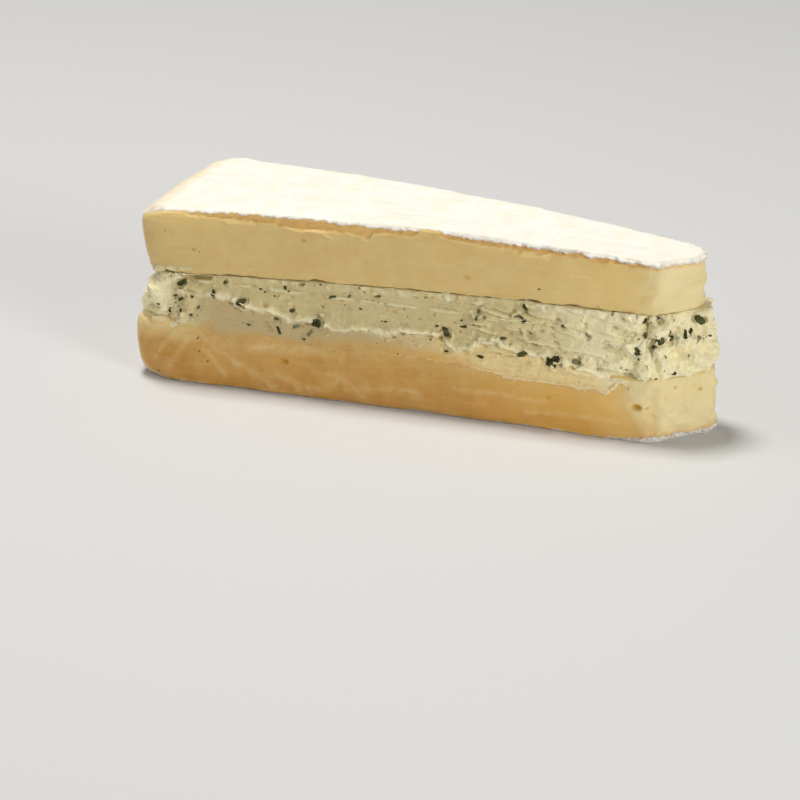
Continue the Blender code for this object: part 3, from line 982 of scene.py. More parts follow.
def lump():
    bpy.ops.object.select_all(action="DESELECT")
    bpy.ops.mesh.primitive_ico_sphere_add(subdivisions=3, radius=0.5)
    piece = bpy.context.object
    points = points_of(piece)
    uneven = 1.0 + 0.30 * swells(points, 0.5, 5.0) + 0.16 * crests(points, 0.3, 2.0)
    set_points(piece, points * uneven[:, None] * np.array((1.0, 0.8, 0.65)))
    return finish_shape(piece, "lump_shape")


HERB_SHAPES = {
    "leaf": leaf_flake(),
    "chive": chive_slice(),
    "sliver": stem_sliver(),
    "crumb": herb_crumb(),
    "lump": lump(),
}
print({kind: triangles_of(shape) for kind, shape in HERB_SHAPES.items()})

# %% [markdown]
# ### Sinking herbs into the cheese
#
# A herb on the cut is found by looking at the cheese from outside, straight at the cut: the first
# surface that is met is where it lies. It is then laid flat on that surface, turned, and sunk until
# only a part of it stands out.

# %% Places for herbs
LAYERS = [upper, lower, filling]
FLAT_FACE_CORNERS = 8  # a face with this many corners or more is a flat hidden one
herb_draw = random.Random(11)
herb_copies = {kind: [] for kind in HERB_SHAPES}
herb_places = []


def surface_tree(pieces):
    """One search tree of the surfaces of several pieces."""
    points, faces = [], []
    for piece in pieces:
        first = len(points)
        points.extend(vertex.co.copy() for vertex in piece.data.vertices)
        faces.extend([first + corner for corner in face.vertices] for face in piece.data.polygons
                     if len(face.vertices) < FLAT_FACE_CORNERS)
    return BVHTree.FromPolygons(points, faces)


cheese = surface_tree(LAYERS)


def seen_from(start, along, out, station, height):
    """The place and normal of the surface in front of a station on a cut."""
    eye = start + along * (station * MM) + out * (12 * MM)
    eye.z = height * MM
    place, normal, _face, _distance = cheese.ray_cast(eye, -out)
    return place, normal


def lay_herb(kind, place, normal, along, length, width, turn, sink, shade):
    """Copies a herb shape onto a surface. Sink is the share of its thickness under the surface."""
    if place is None:  # the cut ends before this station
        return
    side = normal.cross(along).normalized()
    level = side.cross(normal).normalized()
    turned = level * math.cos(turn) + side * math.sin(turn)
    across = normal.cross(turned)
    axes = Matrix((turned * length, across * width, normal * (0.5 * (length + width)))).transposed()
    depth = normal * (sink * 0.13 * (length + width))
    shape = points_of(HERB_SHAPES[kind])
    points = shape @ np.array(axes).T + np.array(place - depth)
    herb_copies[kind].append((points, shade + 0.8 * swells(shape, 0.42, 10.0 * shade)))
    if kind != "lump":
        herb_places.append((place.copy(), 0.5 * (length + width), sink))


print("cheese surface ready for herbs")

# %% [markdown]
# ### Herbs that stand out
#
# The large pieces are placed one by one, because the eye goes to them first. Each line says
# which shape, where along the cut and how high, how long and wide in millimetres, its turn in
# degrees, how deep it is sunk and its shade, from 0, almost black, to 1, pale grey green. A large
# herb was pressed into the cream by the knife, so an uneven bed is made for it first.

# %% Herbs placed one by one
FRONT_HERBS = [
    ("leaf", 8.6, 32.6, 3.4, 2.6, 10, 0.5, 0.50), ("leaf", 22.7, 34.4, 2.4, 1.9, 60, 0.6, 0.30),
    ("leaf", 19.4, 31.4, 2.6, 2.2, 75, 0.6, 0.45), ("leaf", 28.6, 29.6, 3.4, 2.4, 15, 0.3, 0.55),
    ("crumb", 12.6, 29.2, 1.5, 1.2, 0, 0.6, 0.25), ("chive", 9.0, 27.8, 1.9, 1.3, 40, 0.8, 0.30),
    ("crumb", 14.4, 25.6, 1.4, 1.0, 60, 0.6, 0.20), ("leaf", 8.7, 24.2, 2.6, 1.8, 80, 0.7, 0.25),
    ("crumb", 7.4, 29.0, 1.5, 1.1, 20, 0.6, 0.30), ("crumb", 1.4, 25.3, 1.6, 1.1, 20, 0.6, 0.25),
    ("sliver", 11.8, 22.8, 2.4, 1.6, 130, 0.4, 0.50), ("chive", 42.0, 35.4, 2.0, 1.4, 100, 0.6, 0.35),
    ("crumb", 43.3, 34.3, 1.1, 0.9, 0, 0.6, 0.10), ("crumb", 34.2, 33.8, 1.2, 0.9, 0, 0.6, 0.05),
    ("crumb", 35.6, 33.0, 1.0, 0.8, 30, 0.6, 0.10), ("chive", 47.9, 36.9, 1.8, 1.3, 70, 0.6, 0.40),
    ("leaf", 44.3, 28.1, 2.8, 2.0, 5, 0.5, 0.40), ("leaf", 53.0, 25.9, 3.6, 2.5, 155, 0.35, 0.25),
    ("leaf", 39.3, 25.0, 2.8, 1.8, 165, 0.6, 0.30), ("chive", 40.4, 21.6, 2.2, 1.3, 110, 0.5, 0.35),
    ("crumb", 30.8, 22.0, 1.8, 1.0, 165, 0.7, 0.15), ("chive", 46.1, 23.6, 2.2, 1.7, 20, 0.7, 0.85),
    ("crumb", 48.2, 19.7, 1.4, 1.1, 0, 0.7, 0.20), ("chive", 50.3, 21.9, 2.1, 1.6, 45, 0.7, 0.85),
    ("leaf", 92.8, 27.3, 4.0, 2.6, 100, 0.35, 0.20), ("crumb", 90.4, 29.4, 1.5, 0.9, 20, 0.5, 0.30),
    ("leaf", 102.9, 35.2, 2.6, 2.3, 60, 0.7, 0.65), ("crumb", 105.0, 33.9, 1.5, 1.3, 0, 0.7, 0.75),
    ("leaf", 117.0, 38.3, 3.2, 2.0, 120, 0.5, 0.45), ("chive", 98.4, 29.9, 2.0, 1.3, 20, 0.6, 0.35),
    ("leaf", 110.9, 27.8, 2.6, 1.9, 170, 0.5, 0.20), ("sliver", 119.2, 30.4, 2.6, 2.2, 95, 0.5, 0.60),
    ("sliver", 115.9, 35.5, 3.0, 1.4, 5, 0.5, 0.50), ("leaf", 129.2, 34.0, 2.4, 2.0, 60, 0.6, 0.40),
    ("sliver", 136.3, 31.9, 3.0, 1.4, 140, 0.6, 0.75), ("leaf", 117.4, 24.7, 2.6, 1.7, 150, 0.5, 0.30),
    ("leaf", 126.7, 23.3, 4.4, 3.3, 15, 0.15, 0.15), ("leaf", 133.6, 23.1, 3.9, 2.6, 175, 0.25, 0.60),
    ("crumb", 104.2, 21.5, 2.2, 1.6, 0, 0.5, 0.25), ("sliver", 93.2, 21.4, 3.2, 1.2, 0, 0.4, 0.40),
    ("leaf", 152.0, 30.2, 3.4, 2.0, 120, 0.5, 0.20), ("crumb", 152.6, 26.6, 1.8, 1.2, 90, 0.6, 0.40),
    ("sliver", 149.0, 23.0, 2.0, 1.2, 50, 0.5, 0.55), ("crumb", 142.0, 22.4, 1.5, 1.0, 60, 0.6, 0.30),
    ("crumb", 53.5, 37.8, 1.3, 1.0, 0, 0.7, 0.15), ("crumb", 62.6, 35.1, 1.4, 0.9, 40, 0.7, 0.45),
    ("crumb", 67.4, 37.0, 1.2, 0.7, 150, 0.7, 0.45), ("chive", 71.5, 36.0, 1.8, 1.3, 5, 0.6, 0.50),
    ("crumb", 61.0, 32.0, 0.9, 0.6, 0, 0.7, 0.40), ("crumb", 66.2, 31.6, 1.3, 0.7, 160, 0.7, 0.40),
    ("chive", 57.4, 34.3, 2.0, 1.3, 15, 0.6, 0.60), ("crumb", 74.0, 28.4, 1.6, 0.9, 0, 0.6, 0.20),
    ("crumb", 82.4, 26.0, 1.3, 0.8, 0, 0.6, 0.35), ("crumb", 86.5, 37.8, 1.6, 1.0, 20, 0.7, 0.60),
]
NOSE_HERBS = [
    ("leaf", 1.0, 33.0, 4.2, 2.8, 80, 0.4, 0.40), ("leaf", 3.6, 35.4, 2.6, 1.8, 90, 0.5, 0.20),
    ("sliver", 1.2, 39.2, 4.0, 2.0, 125, 0.3, 0.55), ("leaf", 4.4, 32.6, 3.0, 2.0, 150, 0.5, 0.30),
    ("chive", 8.4, 34.4, 2.2, 1.6, 70, 0.5, 0.15), ("leaf", 13.6, 37.6, 2.8, 2.0, 40, 0.5, 0.35),
    ("chive", 11.0, 33.4, 2.6, 2.0, 100, 0.5, 0.25), ("leaf", 18.6, 35.4, 3.0, 2.2, 15, 0.6, 0.80),
    ("chive", 13.6, 30.8, 2.4, 2.0, 60, 0.7, 0.90), ("crumb", 17.0, 32.0, 1.3, 1.0, 0, 0.6, 0.40),
    ("crumb", 20.2, 36.0, 1.8, 1.2, 30, 0.6, 0.60), ("leaf", -2.0, 38.5, 2.6, 1.6, 70, 0.5, 0.30),
    ("crumb", 9.6, 27.2, 1.4, 0.9, 70, 0.7, 0.60), ("sliver", 2.6, 27.4, 2.4, 1.6, 100, 0.6, 0.60),
]


SHORTEST_WITH_BED = 2.3


def press_beds(piece, herbs, start, along, out):
    """Presses a hollow into the cream for each large herb, with cream pushed up in places beside it."""
    points = points_of(piece)
    normals = normals_of(piece)
    tree = search_tree(points)
    for _kind, station, height, length, width, _turn, _sink, _shade in herbs:
        place, _normal = seen_from(start, along, out, station, height)
        if place is None or length < SHORTEST_WITH_BED:
            continue
        reach = 0.36 * (length + width) * MM
        for point, near, distance in tree.find_range(place, 1.6 * reach):
            share = distance / reach + 0.6 * noise.noise(point / (1.4 * MM))
            bed = -0.20 * max(1.0 - share**2, 0.0)
            pushed_out = max(0.03 + 0.4 * noise.noise(point / (2.6 * MM)), 0.0)
            rim = pushed_out * max(1.0 - ((share - 1.15) / 0.35) ** 2, 0.0)
            points[near] += normals[near] * ((bed + rim) * length * MM)
    set_points(piece, points)


LARGER, SHALLOWER = 1.12, 0.75  # brings each herb of the lists out of its bed


def lay_list(herbs, start, along, out):
    for kind, station, height, length, width, turn, sink, shade in herbs:
        place, normal = seen_from(start, along, out, station, height)
        long, wide = LARGER * length * MM, LARGER * width * MM
        lay_herb(kind, place, normal, along, long, wide, math.radians(turn), SHALLOWER * sink, shade)


press_beds(filling, FRONT_HERBS, CUT_START, ALONG_CUT, OUT_OF_CUT)
press_beds(filling, NOSE_HERBS, NOSE_START, ALONG_NOSE, OUT_OF_NOSE)
# depth of hollows and height of bumps, which the material paints as shade and highlight
paint(filling, "hollow", hollows(filling, passes=8))
cheese = surface_tree(LAYERS)
lay_list(FRONT_HERBS, CUT_START, ALONG_CUT, OUT_OF_CUT)
lay_list(NOSE_HERBS, NOSE_START, ALONG_NOSE, OUT_OF_NOSE)
print("herbs placed by hand:", len(FRONT_HERBS) + len(NOSE_HERBS))

# %% [markdown]
# ### The rest of the herbs
#
# The small bits are scattered over the cream by chance. A point of the cream is drawn, and its
# chance of getting a herb depends on where it is: most at the rind end and near the nose, fewer in
# the smoothed middle and on the thin smear. Larger flakes go on the back cut and the rind end, which
# have none listed.

# %% Scattered herbs
SCATTER_COUNT, LARGE_COUNT = 430, 50
KIND_SHARES = [("crumb", 0.64), ("leaf", 0.24), ("chive", 0.03), ("sliver", 0.09)]


def drawn_kind():
    draw = herb_draw.random()
    for kind, share in KIND_SHARES:
        draw -= share
        if draw < 0.0:
            return kind
    return "crumb"


def scatter_herbs(piece):
    points = points_of(piece)
    normals = normals_of(piece)
    places = cut_places(points)
    sideways = np.abs(normals[:, 2]) < 0.75
    along, height = places[:, 0], places[:, 2]
    chance = 0.25 + 0.45 * soft_step(50 * MM, 10 * MM, along) + 0.30 * soft_step(110 * MM, 150 * MM, along)
    chance *= 0.15 + 1.6 * soft_step(0.0, 0.5, swells(points, 6 * MM, 31.0))
    chance *= np.where(height < 21 * MM, 0.10, 1.0) * sideways
    laid = 0
    while laid < SCATTER_COUNT:
        index = herb_draw.randrange(len(points))
        if herb_draw.random() > chance[index]:
            continue
        kind = drawn_kind()
        length = herb_draw.uniform(0.35, 1.1) if kind == "crumb" else herb_draw.uniform(0.8, 2.1)
        width = length * herb_draw.uniform(0.5, 0.9)
        turn = herb_draw.uniform(0.0, math.pi)
        sink, shade = herb_draw.uniform(0.5, 1.3), herb_draw.random() ** 1.4
        place, normal = Vector(points[index]), Vector(normals[index])
        lay_herb(kind, place, normal, ALONG_CUT, length * MM, width * MM, turn, sink, shade)
        laid += 1


def scatter_large_herbs(piece, count):
    """Large flakes on the back cut and at the rind end, by chance."""
    points = points_of(piece)
    normals = normals_of(piece)
    places = cut_places(points)
    at_back = face_share(-normals, OUT_OF_CUT) > 0.8
    sideways = np.abs(normals[:, 2]) < 0.7
    at_rind = (places[:, 0] < 3 * MM) * (places[:, 1] < -3 * MM) * sideways
    bare = (at_back + at_rind) * (points[:, 2] > 24 * MM)
    for index in herb_draw.sample(np.flatnonzero(bare).tolist(), count):
        length = herb_draw.uniform(1.6, 3.8) * MM
        kind = herb_draw.choice(("leaf", "leaf", "sliver"))
        width = length * herb_draw.uniform(0.5, 0.8)
        turn = herb_draw.uniform(0.0, math.pi)
        sink, shade = herb_draw.uniform(0.2, 0.6), herb_draw.uniform(0.1, 0.7)
        place, normal = Vector(points[index]), Vector(normals[index])
        lay_herb(kind, place, normal, ALONG_CUT, length, width, turn, sink, shade)


scatter_herbs(filling)
scatter_large_herbs(filling, LARGE_COUNT)
print({kind: len(copies) for kind, copies in herb_copies.items()})

# %% [markdown]
# ### Clusters under the surface
#
# In places many tiny bits lie together just under the surface, and show as soft grey blurs. Each
# line gives where along the cut, how high and how wide. A few bits are laid inside each.

# %% Clusters
FRONT_BLURS = [(29.5, 32.6, 2.6), (8.0, 23.5, 3.2), (8.6, 26.0, 3.0), (9.3, 28.0, 2.6),
               (13.0, 29.2, 2.4), (11.2, 22.3, 2.4), (31.8, 22.9, 2.2), (45.9, 23.5, 1.8),
               (53.9, 28.4, 3.0), (49.4, 20.4, 2.6), (47.4, 20.0, 2.2), (14.1, 25.1, 2.2),
               (1.2, 25.0, 2.6), (14.3, 33.7, 3.0), (19.4, 31.4, 2.6), (61.8, 35.5, 2.6),
               (65.2, 34.7, 2.4), (74.5, 33.6, 2.2), (75.2, 25.9, 3.2), (72.6, 26.2, 2.4),
               (80.0, 28.3, 2.2), (102.6, 35.3, 4.4), (95.2, 37.1, 2.4), (78.8, 22.7, 2.0),
               (99.9, 32.1, 3.0), (93.4, 25.6, 2.6), (116.9, 37.8, 2.6), (128.5, 33.8, 3.2),
               (136.6, 31.7, 2.8), (134.0, 24.9, 3.4), (145.1, 25.8, 2.4), (141.7, 22.6, 2.2),
               (148.6, 22.9, 3.0), (118.9, 30.0, 2.0), (110.0, 27.6, 2.2), (53.5, 23.0, 3.6),
               (62.6, 31.1, 1.8), (122.0, 27.5, 2.4)]
NOSE_BLURS = [(18.3, 35.6, 3.6), (12.1, 31.5, 3.0), (6.7, 32.6, 3.2), (12.8, 24.8, 3.4),
              (3.7, 34.3, 2.8), (-0.4, 32.7, 3.4), (1.0, 38.0, 3.4)]
BLUR_SINK = 0.15
BITS_IN_BLUR = 6

for blurs, start, along, out in (
    (FRONT_BLURS, CUT_START, ALONG_CUT, OUT_OF_CUT),
    (NOSE_BLURS, NOSE_START, ALONG_NOSE, OUT_OF_NOSE),
):
    for station, height, size in blurs:
        place, _normal = seen_from(start, along, out, station, height)
        if place is None:
            continue
        herb_places.append((place, size * MM, BLUR_SINK))
        for _bit in range(BITS_IN_BLUR):
            aside = station + herb_draw.uniform(-0.5, 0.5) * size
            above = height + herb_draw.uniform(-0.4, 0.4) * size
            place, normal = seen_from(start, along, out, aside, above)
            length, width = herb_draw.uniform(0.4, 1.0) * MM, 0.4 * MM
            turn = herb_draw.uniform(0.0, math.pi)
            sink, shade = herb_draw.uniform(0.8, 1.8), herb_draw.random()
            lay_herb("crumb", place, normal, along, length, width, turn, sink, shade)
print("clusters:", len(FRONT_BLURS) + len(NOSE_BLURS))

# %% [markdown]
# ### Specks on the paste
#
# A few crumbs of herb were carried over by the knife and stick to the two halves of brie. They are
# few, so they are placed one by one too.

# %% Specks
SPECKS = [(14.1, 15.6, 1.6, 0.8, 60, 0.55), (14.6, 11.5, 0.8, 0.8, 0, 0.05),
          (17.3, 8.5, 0.9, 0.9, 0, 0.10), (0.9, 3.0, 1.3, 0.8, 80, 0.50),
          (-1.8, 12.4, 0.6, 0.5, 0, 0.4), (50.4, 12.6, 0.8, 0.5, 60, 0.6),
          (4.2, 49.5, 0.6, 0.6, 0, 0.2), (13.2, 44.5, 0.7, 0.5, 0, 0.4),
          (15.2, 43.8, 0.7, 0.5, 60, 0.4), (121.9, 45.2, 1.5, 0.9, 10, 0.55),
          (78.0, 18.6, 0.9, 0.7, 60, 0.5), (31.0, 41.0, 0.5, 0.4, 0, 0.5),
          (140.0, 41.8, 0.6, 0.4, 0, 0.5), (58.0, 17.0, 0.6, 0.5, 0, 0.4),
          (128.0, 12.0, 0.5, 0.4, 0, 0.6)]

HALF_SUNK = 0.5

for station, height, length, width, turn, shade in SPECKS:
    place, normal = seen_from(CUT_START, ALONG_CUT, OUT_OF_CUT, station, height)
    angle = math.radians(turn)
    lay_herb("crumb", place, normal, ALONG_CUT, length * MM, width * MM, angle, HALF_SUNK, shade)
print("specks:", len(SPECKS))

# %% [markdown]
# ### Crumbs of paste
#
# At the rind end the knife broke the halves a little, so lumps of pale paste hang under the
# upper brie and lie on the shoulder of the lower one. A few more lie on the cream. A large lump is
# sunk deeper than a small one, so that only its back shows.

# %% Paste crumbs
LUMPS = [(1.6, 22.2, 6.0, 3.4, 0), (6.0, 21.8, 4.4, 3.0, 30), (3.0, 20.4, 5.6, 3.0, 0),
         (9.4, 20.8, 3.4, 2.4, 20), (1.4, 36.8, 5.0, 3.2, 10), (5.2, 37.2, 5.4, 3.0, 0),
         (9.0, 37.4, 4.0, 2.2, 10), (-1.6, 33.8, 4.0, 3.0, 40), (2.6, 33.4, 3.4, 2.6, 80),
         (11.6, 37.8, 2.6, 1.4, 0), (148.6, 18.2, 2.6, 1.8, 20), (150.2, 17.0, 1.7, 1.4, 0),
         (145.6, 16.8, 3.0, 1.6, 160), (103.5, 38.6, 2.4, 1.3, 0), (97.0, 38.4, 1.8, 1.0, 0),
         (80.0, 38.2, 2.2, 1.0, 0), (124.0, 28.6, 2.2, 1.4, 20), (143.0, 28.8, 7.0, 1.9, 174),
         (108.6, 25.4, 3.6, 1.8, 15), (100.6, 26.6, 2.6, 1.6, 160), (114.0, 22.6, 2.0, 1.2, 0),
         (84.0, 25.6, 1.8, 1.1, 0)]

for station, height, length, width, turn in LUMPS:
    place, normal = seen_from(CUT_START, ALONG_CUT, OUT_OF_CUT, station, height)
    sink = min(0.35 + 0.09 * length, 0.95)
    angle = math.radians(turn)
    lay_herb("lump", place, normal, ALONG_CUT, length * MM, width * MM, angle, sink, shade=0.0)
print("lumps:", len(LUMPS))

# %% [markdown]
# ### One piece for each kind of herb
#
# The copies of a kind are joined into one mesh. The shade of each copy is painted on its
# points, so that one material can colour them all differently.

# %% Join the herbs
def joined_copies(kind, name):
    shape = HERB_SHAPES[kind].data
    faces_once = [list(face.vertices) for face in shape.polygons]
    points, faces, shades = [], [], []
    for copy_points, shade in herb_copies[kind]:
        first = len(points)
        points.extend(copy_points.tolist())
        faces.extend([first + corner for corner in face] for face in faces_once)
        shades.extend(shade)
    mesh = bpy.data.meshes.new(name)
    mesh.from_pydata(points, [], faces)
    piece = bpy.data.objects.new(name, mesh)
    bpy.context.scene.collection.objects.link(piece)
    only(piece)
    bpy.ops.object.mode_set(mode="EDIT")
    bpy.ops.mesh.select_all(action="SELECT")
    bpy.ops.mesh.normals_make_consistent(inside=False)
    bpy.ops.object.mode_set(mode="OBJECT")
    bpy.ops.object.shade_smooth_by_angle(angle=math.radians(30))
    paint(piece, "shade", shades)
    return piece


paste_crumbs = joined_copies("lump", "paste_crumbs")
herb_pieces = [
    joined_copies("leaf", "leaf_flakes"),
    joined_copies("chive", "chive_slices"),
    joined_copies("sliver", "stem_slivers"),
    joined_copies("crumb", "herb_crumbs"),
]
for shape in HERB_SHAPES.values():
    bpy.data.objects.remove(shape)
print({piece.name: triangles_of(piece) for piece in herb_pieces})

# %% [markdown]
# ### Juice and shadow round the herbs
#
# Wet herbs stain the cream a blue-grey green, also where they lie just under its surface. For
# each point of the cream the stain is the sum of what the herbs near it give, and it levels off
# where many lie together. The points are shaken a little first, so that no stain is a neat disc.

# %% Stain
def paint_stain(piece):
    points = points_of(piece)
    for column in range(3):
        points[:, column] += 0.9 * MM * swells(points, 1.4 * MM, 50.0 + column)
    tree = search_tree(points)
    stain = np.zeros(len(points))
    for place, size, sink in herb_places:
        reach = 0.7 * MM + 0.8 * size
        strength = (0.3 + 0.2 * sink) * min(1.0, size / (1.6 * MM))
        for _place, near, distance in tree.find_range(place, reach):
            stain[near] += strength * (1.0 - (distance / reach) ** 2) ** 2
    paint(piece, "stain", 1.0 - np.exp(-stain))


paint_stain(filling)
print("stained round", len(herb_places), "herbs")

# %% [markdown]
# ### Fewer triangles
#
# The even nets hold more triangles than the smooth parts need. The decimate modifier merges the
# small ones where the surface hardly bends, and leaves the torn edges and the pits as they are.

# %% Thin out
MOST_TRIANGLES = 195000
for piece in LAYERS:
    thin_out(piece, MOST_TRIANGLES)
print("triangles:", {piece.name: triangles_of(piece) for piece in LAYERS})

# %% [markdown]
# ## Materials: shared effects
#
# Three effects are used by more than one material, so each is a node group. `Drag lines` is noise
# stretched along the wedge, for the marks of the knife. `Mottling` is soft patchy noise. `Pores`
# are the tiny pits of cheese. Each gives out a value, and the material decides what it does with it.

# %% Node tools
def new_group(name, inputs):
    """A shader group with a Place input, these number inputs and one Value output."""
    group = bpy.data.node_groups.new(name, "ShaderNodeTree")
    group.interface.new_socket("Place", in_out="INPUT", socket_type="NodeSocketVector")
    for socket_name, default in inputs:
        socket = group.interface.new_socket(socket_name, in_out="INPUT", socket_type="NodeSocketFloat")
        socket.default_value = default
    group.interface.new_socket("Value", in_out="OUTPUT", socket_type="NodeSocketFloat")
    start = group.nodes.new("NodeGroupInput")
    end = group.nodes.new("NodeGroupOutput")
    return group, start, end


class Nodes:
    """Short names for the nodes that the materials and groups are made of."""

    def __init__(self, tree):
        self.tree = tree

    def add(self, kind, **settings):
        node = self.tree.nodes.new(kind)
        for setting, value in settings.items():
            setattr(node, setting, value)
        return node

    def feed(self, socket, source):
        if isinstance(source, bpy.types.NodeSocket):
            self.tree.links.new(source, socket)
        else:
            socket.default_value = source

    def sum(self, operation, *sources, clamp=False):
        node = self.add("ShaderNodeMath", operation=operation, use_clamp=clamp)
        for socket, source in zip(node.inputs, sources):
            self.feed(socket, source)
        return node.outputs[0]

    def ramp(self, value, low, high):
        """0 below low and 1 above high, smooth between."""
        node = self.add("ShaderNodeMapRange", interpolation_type="SMOOTHSTEP")
        self.feed(node.inputs["Value"], value)
        node.inputs["From Min"].default_value = low
        node.inputs["From Max"].default_value = high
        return node.outputs["Result"]

    def span(self, value, low, high):
        """Stretches 0 to 1 onto low to high."""
        node = self.add("ShaderNodeMapRange")
        self.feed(node.inputs["Value"], value)
        node.inputs["To Min"].default_value = low
        node.inputs["To Max"].default_value = high
        return node.outputs["Result"]

    def mix(self, share, first, second, blend="MIX"):
        node = self.add("ShaderNodeMix", data_type="RGBA", blend_type=blend)
        self.feed(node.inputs[0], share)
        self.feed(node.inputs[6], first if isinstance(first, bpy.types.NodeSocket) else (*first, 1.0))
        self.feed(node.inputs[7], second if isinstance(second, bpy.types.NodeSocket) else (*second, 1.0))
        return node.outputs[2]

    def noise(self, place, scale, detail=2.0, roughness=0.5):
        node = self.add("ShaderNodeTexNoise")
        self.feed(node.inputs["Vector"], place)
        self.feed(node.inputs["Scale"], scale)
        node.inputs["Detail"].default_value = detail
        node.inputs["Roughness"].default_value = roughness
        return node.outputs[0]

    def painted(self, name):
        return self.add("ShaderNodeAttribute", attribute_name=name).outputs["Fac"]

    def scaled(self, place, scale):
        node = self.add("ShaderNodeMapping")
        self.feed(node.inputs["Vector"], place)
        node.inputs["Scale"].default_value = scale
        return node.outputs[0]

    def effect(self, group, place, **values):
        node = self.add("ShaderNodeGroup", node_tree=group)
        self.feed(node.inputs["Place"], place)
        for name, value in values.items():
            self.feed(node.inputs[name], value)
        return node.outputs["Value"]

# %% [markdown]
# ### The three effects
#
# `Drag lines` stretches the noise some seventeen times along the wedge and lets it waver up and
# down. `Mottling` raises the contrast of plain noise, and `Pores` makes a soft dot in each cell.

# %% The shared effects
STRETCHED_LEVEL = (0.06, 0.06, 1.0)
WAVER = (0.0, 0.0, 4.0 * MM)


def make_drag_lines():
    group, start, end = new_group("Drag lines", [("Spacing", 900.0)])
    nodes = Nodes(group)
    long_way = nodes.scaled(start.outputs["Place"], STRETCHED_LEVEL)
    wavering = nodes.add("ShaderNodeTexNoise")
    nodes.feed(wavering.inputs["Vector"], start.outputs["Place"])
    wavering.inputs["Scale"].default_value = 90.0
    shift = nodes.add("ShaderNodeVectorMath", operation="MULTIPLY_ADD")
    nodes.feed(shift.inputs[0], wavering.outputs[1])
    shift.inputs[1].default_value = WAVER
    nodes.feed(shift.inputs[2], long_way)
    wide = nodes.noise(shift.outputs[0], start.outputs["Spacing"], 3.0, 0.6)
    nodes.feed(end.inputs["Value"], wide)
    return group


def make_mottling():
    group, start, end = new_group("Mottling", [("Fineness", 80.0), ("Contrast", 0.25)])
    nodes = Nodes(group)
    patchy = nodes.noise(start.outputs["Place"], start.outputs["Fineness"], 4.0, 0.6)
    low = nodes.sum("SUBTRACT", 0.5, start.outputs["Contrast"])
    from_low = nodes.sum("SUBTRACT", patchy, low)
    width = nodes.sum("MULTIPLY", start.outputs["Contrast"], 2.0)
    nodes.feed(end.inputs["Value"], nodes.sum("DIVIDE", from_low, width, clamp=True))
    return group


def make_pores():
    group, start, end = new_group("Pores", [("Fineness", 900.0), ("Size", 0.25)])
    nodes = Nodes(group)
    cells = nodes.add("ShaderNodeTexVoronoi", feature="F1")
    nodes.feed(cells.inputs["Vector"], start.outputs["Place"])
    nodes.feed(cells.inputs["Scale"], start.outputs["Fineness"])
    inside = nodes.sum("DIVIDE", cells.outputs["Distance"], start.outputs["Size"])
    nodes.feed(end.inputs["Value"], nodes.sum("SUBTRACT", 1.0, inside, clamp=True))
    return group


DRAG_LINES = make_drag_lines()
MOTTLING = make_mottling()
PORES = make_pores()
print("effects:", [group.name for group in bpy.data.node_groups])

# %% [markdown]
# ## Materials: paste and rind
#
# Paste is satin and a little see-through, so light goes in and comes out golden. It is paler on the
# nose cut than on the long cuts, which get painted warm bounce light and shade, and deepest just under
# the rind. Hollows, holes and the gaps between the layers get painted shade, and lit corners and the
# cuts near the nose get painted light. The rind is white mould: dry, matt and slightly furry, with
# painted grey shade at its torn edge. One material holds both, and the painted rind mask chooses
# between them, so that the border can be finer than the net.
# The light that enters comes out more red than blue, which the glow's radius says for each colour.

# %% Brie material
PASTE_GLOW, PASTE_GLOW_RADIUS = 0.25, (1.0, 0.55, 0.22)


def new_material(name, roughness, glow, glow_radius):
    """A Principled material with light scattering under its surface."""
    material = bpy.data.materials.new(name)
    material.use_nodes = True
    shader = material.node_tree.nodes["Principled BSDF"]
    shader.inputs["Roughness"].default_value = roughness
    shader.inputs["Subsurface Weight"].default_value = glow
    shader.inputs["Subsurface Radius"].default_value = glow_radius
    shader.inputs["Subsurface Scale"].default_value = 2.0 * MM
    shader.inputs["IOR"].default_value = 1.42
    nodes = Nodes(material.node_tree)
    place = nodes.add("ShaderNodeTexCoord").outputs["Object"]
    return material, shader, nodes, place


def bump(nodes, shader, height, distance):
    node = nodes.add("ShaderNodeBump")
    node.inputs["Distance"].default_value = distance
    node.inputs["Strength"].default_value = 1.0
    nodes.feed(node.inputs["Height"], height)
    nodes.feed(shader.inputs["Normal"], node.outputs["Normal"])


# the paste as the nose cut shows it, without painted bounce light
PLAIN_PASTE = (0.884, 0.767, 0.437)
# painted warm bounce light and shade on the upper half's long cuts
UPPER_WARM_BOUNCE_TINT = (0.864, 0.727, 0.50)
# painted warm bounce light and shade on the lower half's long cuts, darker and more orange
LOWER_WARM_BOUNCE_SHADE_TINT = (0.718, 0.44, 0.128)
# painted light: the lower front brighter towards the nose
LOWER_LIT_TOWARDS_NOSE = (0.84, 0.52, 0.13)
DEEP_PASTE = (0.89, 0.82, 0.68)
# golden paste under the rind, also used as painted shade in hollows
UNDER_RIND_AND_HOLLOW_SHADE = (0.82, 0.50, 0.16)
# painted shade inside holes and in the gaps between the layers
HOLE_AND_GAP_SHADE = (0.70, 0.42, 0.04)
RUBBED_PALE = (0.90, 0.77, 0.43)
FILM_PALE = (0.78, 0.60, 0.29)
# painted light on lit corners and on the long cuts near the nose
PAINTED_LIGHT_PASTE = (0.90, 0.68, 0.27)
BLOOM_WHITE = (0.91, 0.90, 0.82)
BLOOM_CREAM = (0.86, 0.79, 0.62)
# painted grey shade at the rind's torn edge
EDGE_SHADE_GREY = (0.60, 0.53, 0.53)
RIM_TAN = (0.84, 0.66, 0.38)
LOW_RIM_TAN = (0.80, 0.57, 0.27)
# painted warm bounce light low on the lower front
LOW_DOWN_WARM_BOUNCE = (0.90, 0.80, 0.66)
CRUMB_GOLD = (0.80, 0.66, 0.36)
CRUMB_PALE = (0.84, 0.74, 0.46)


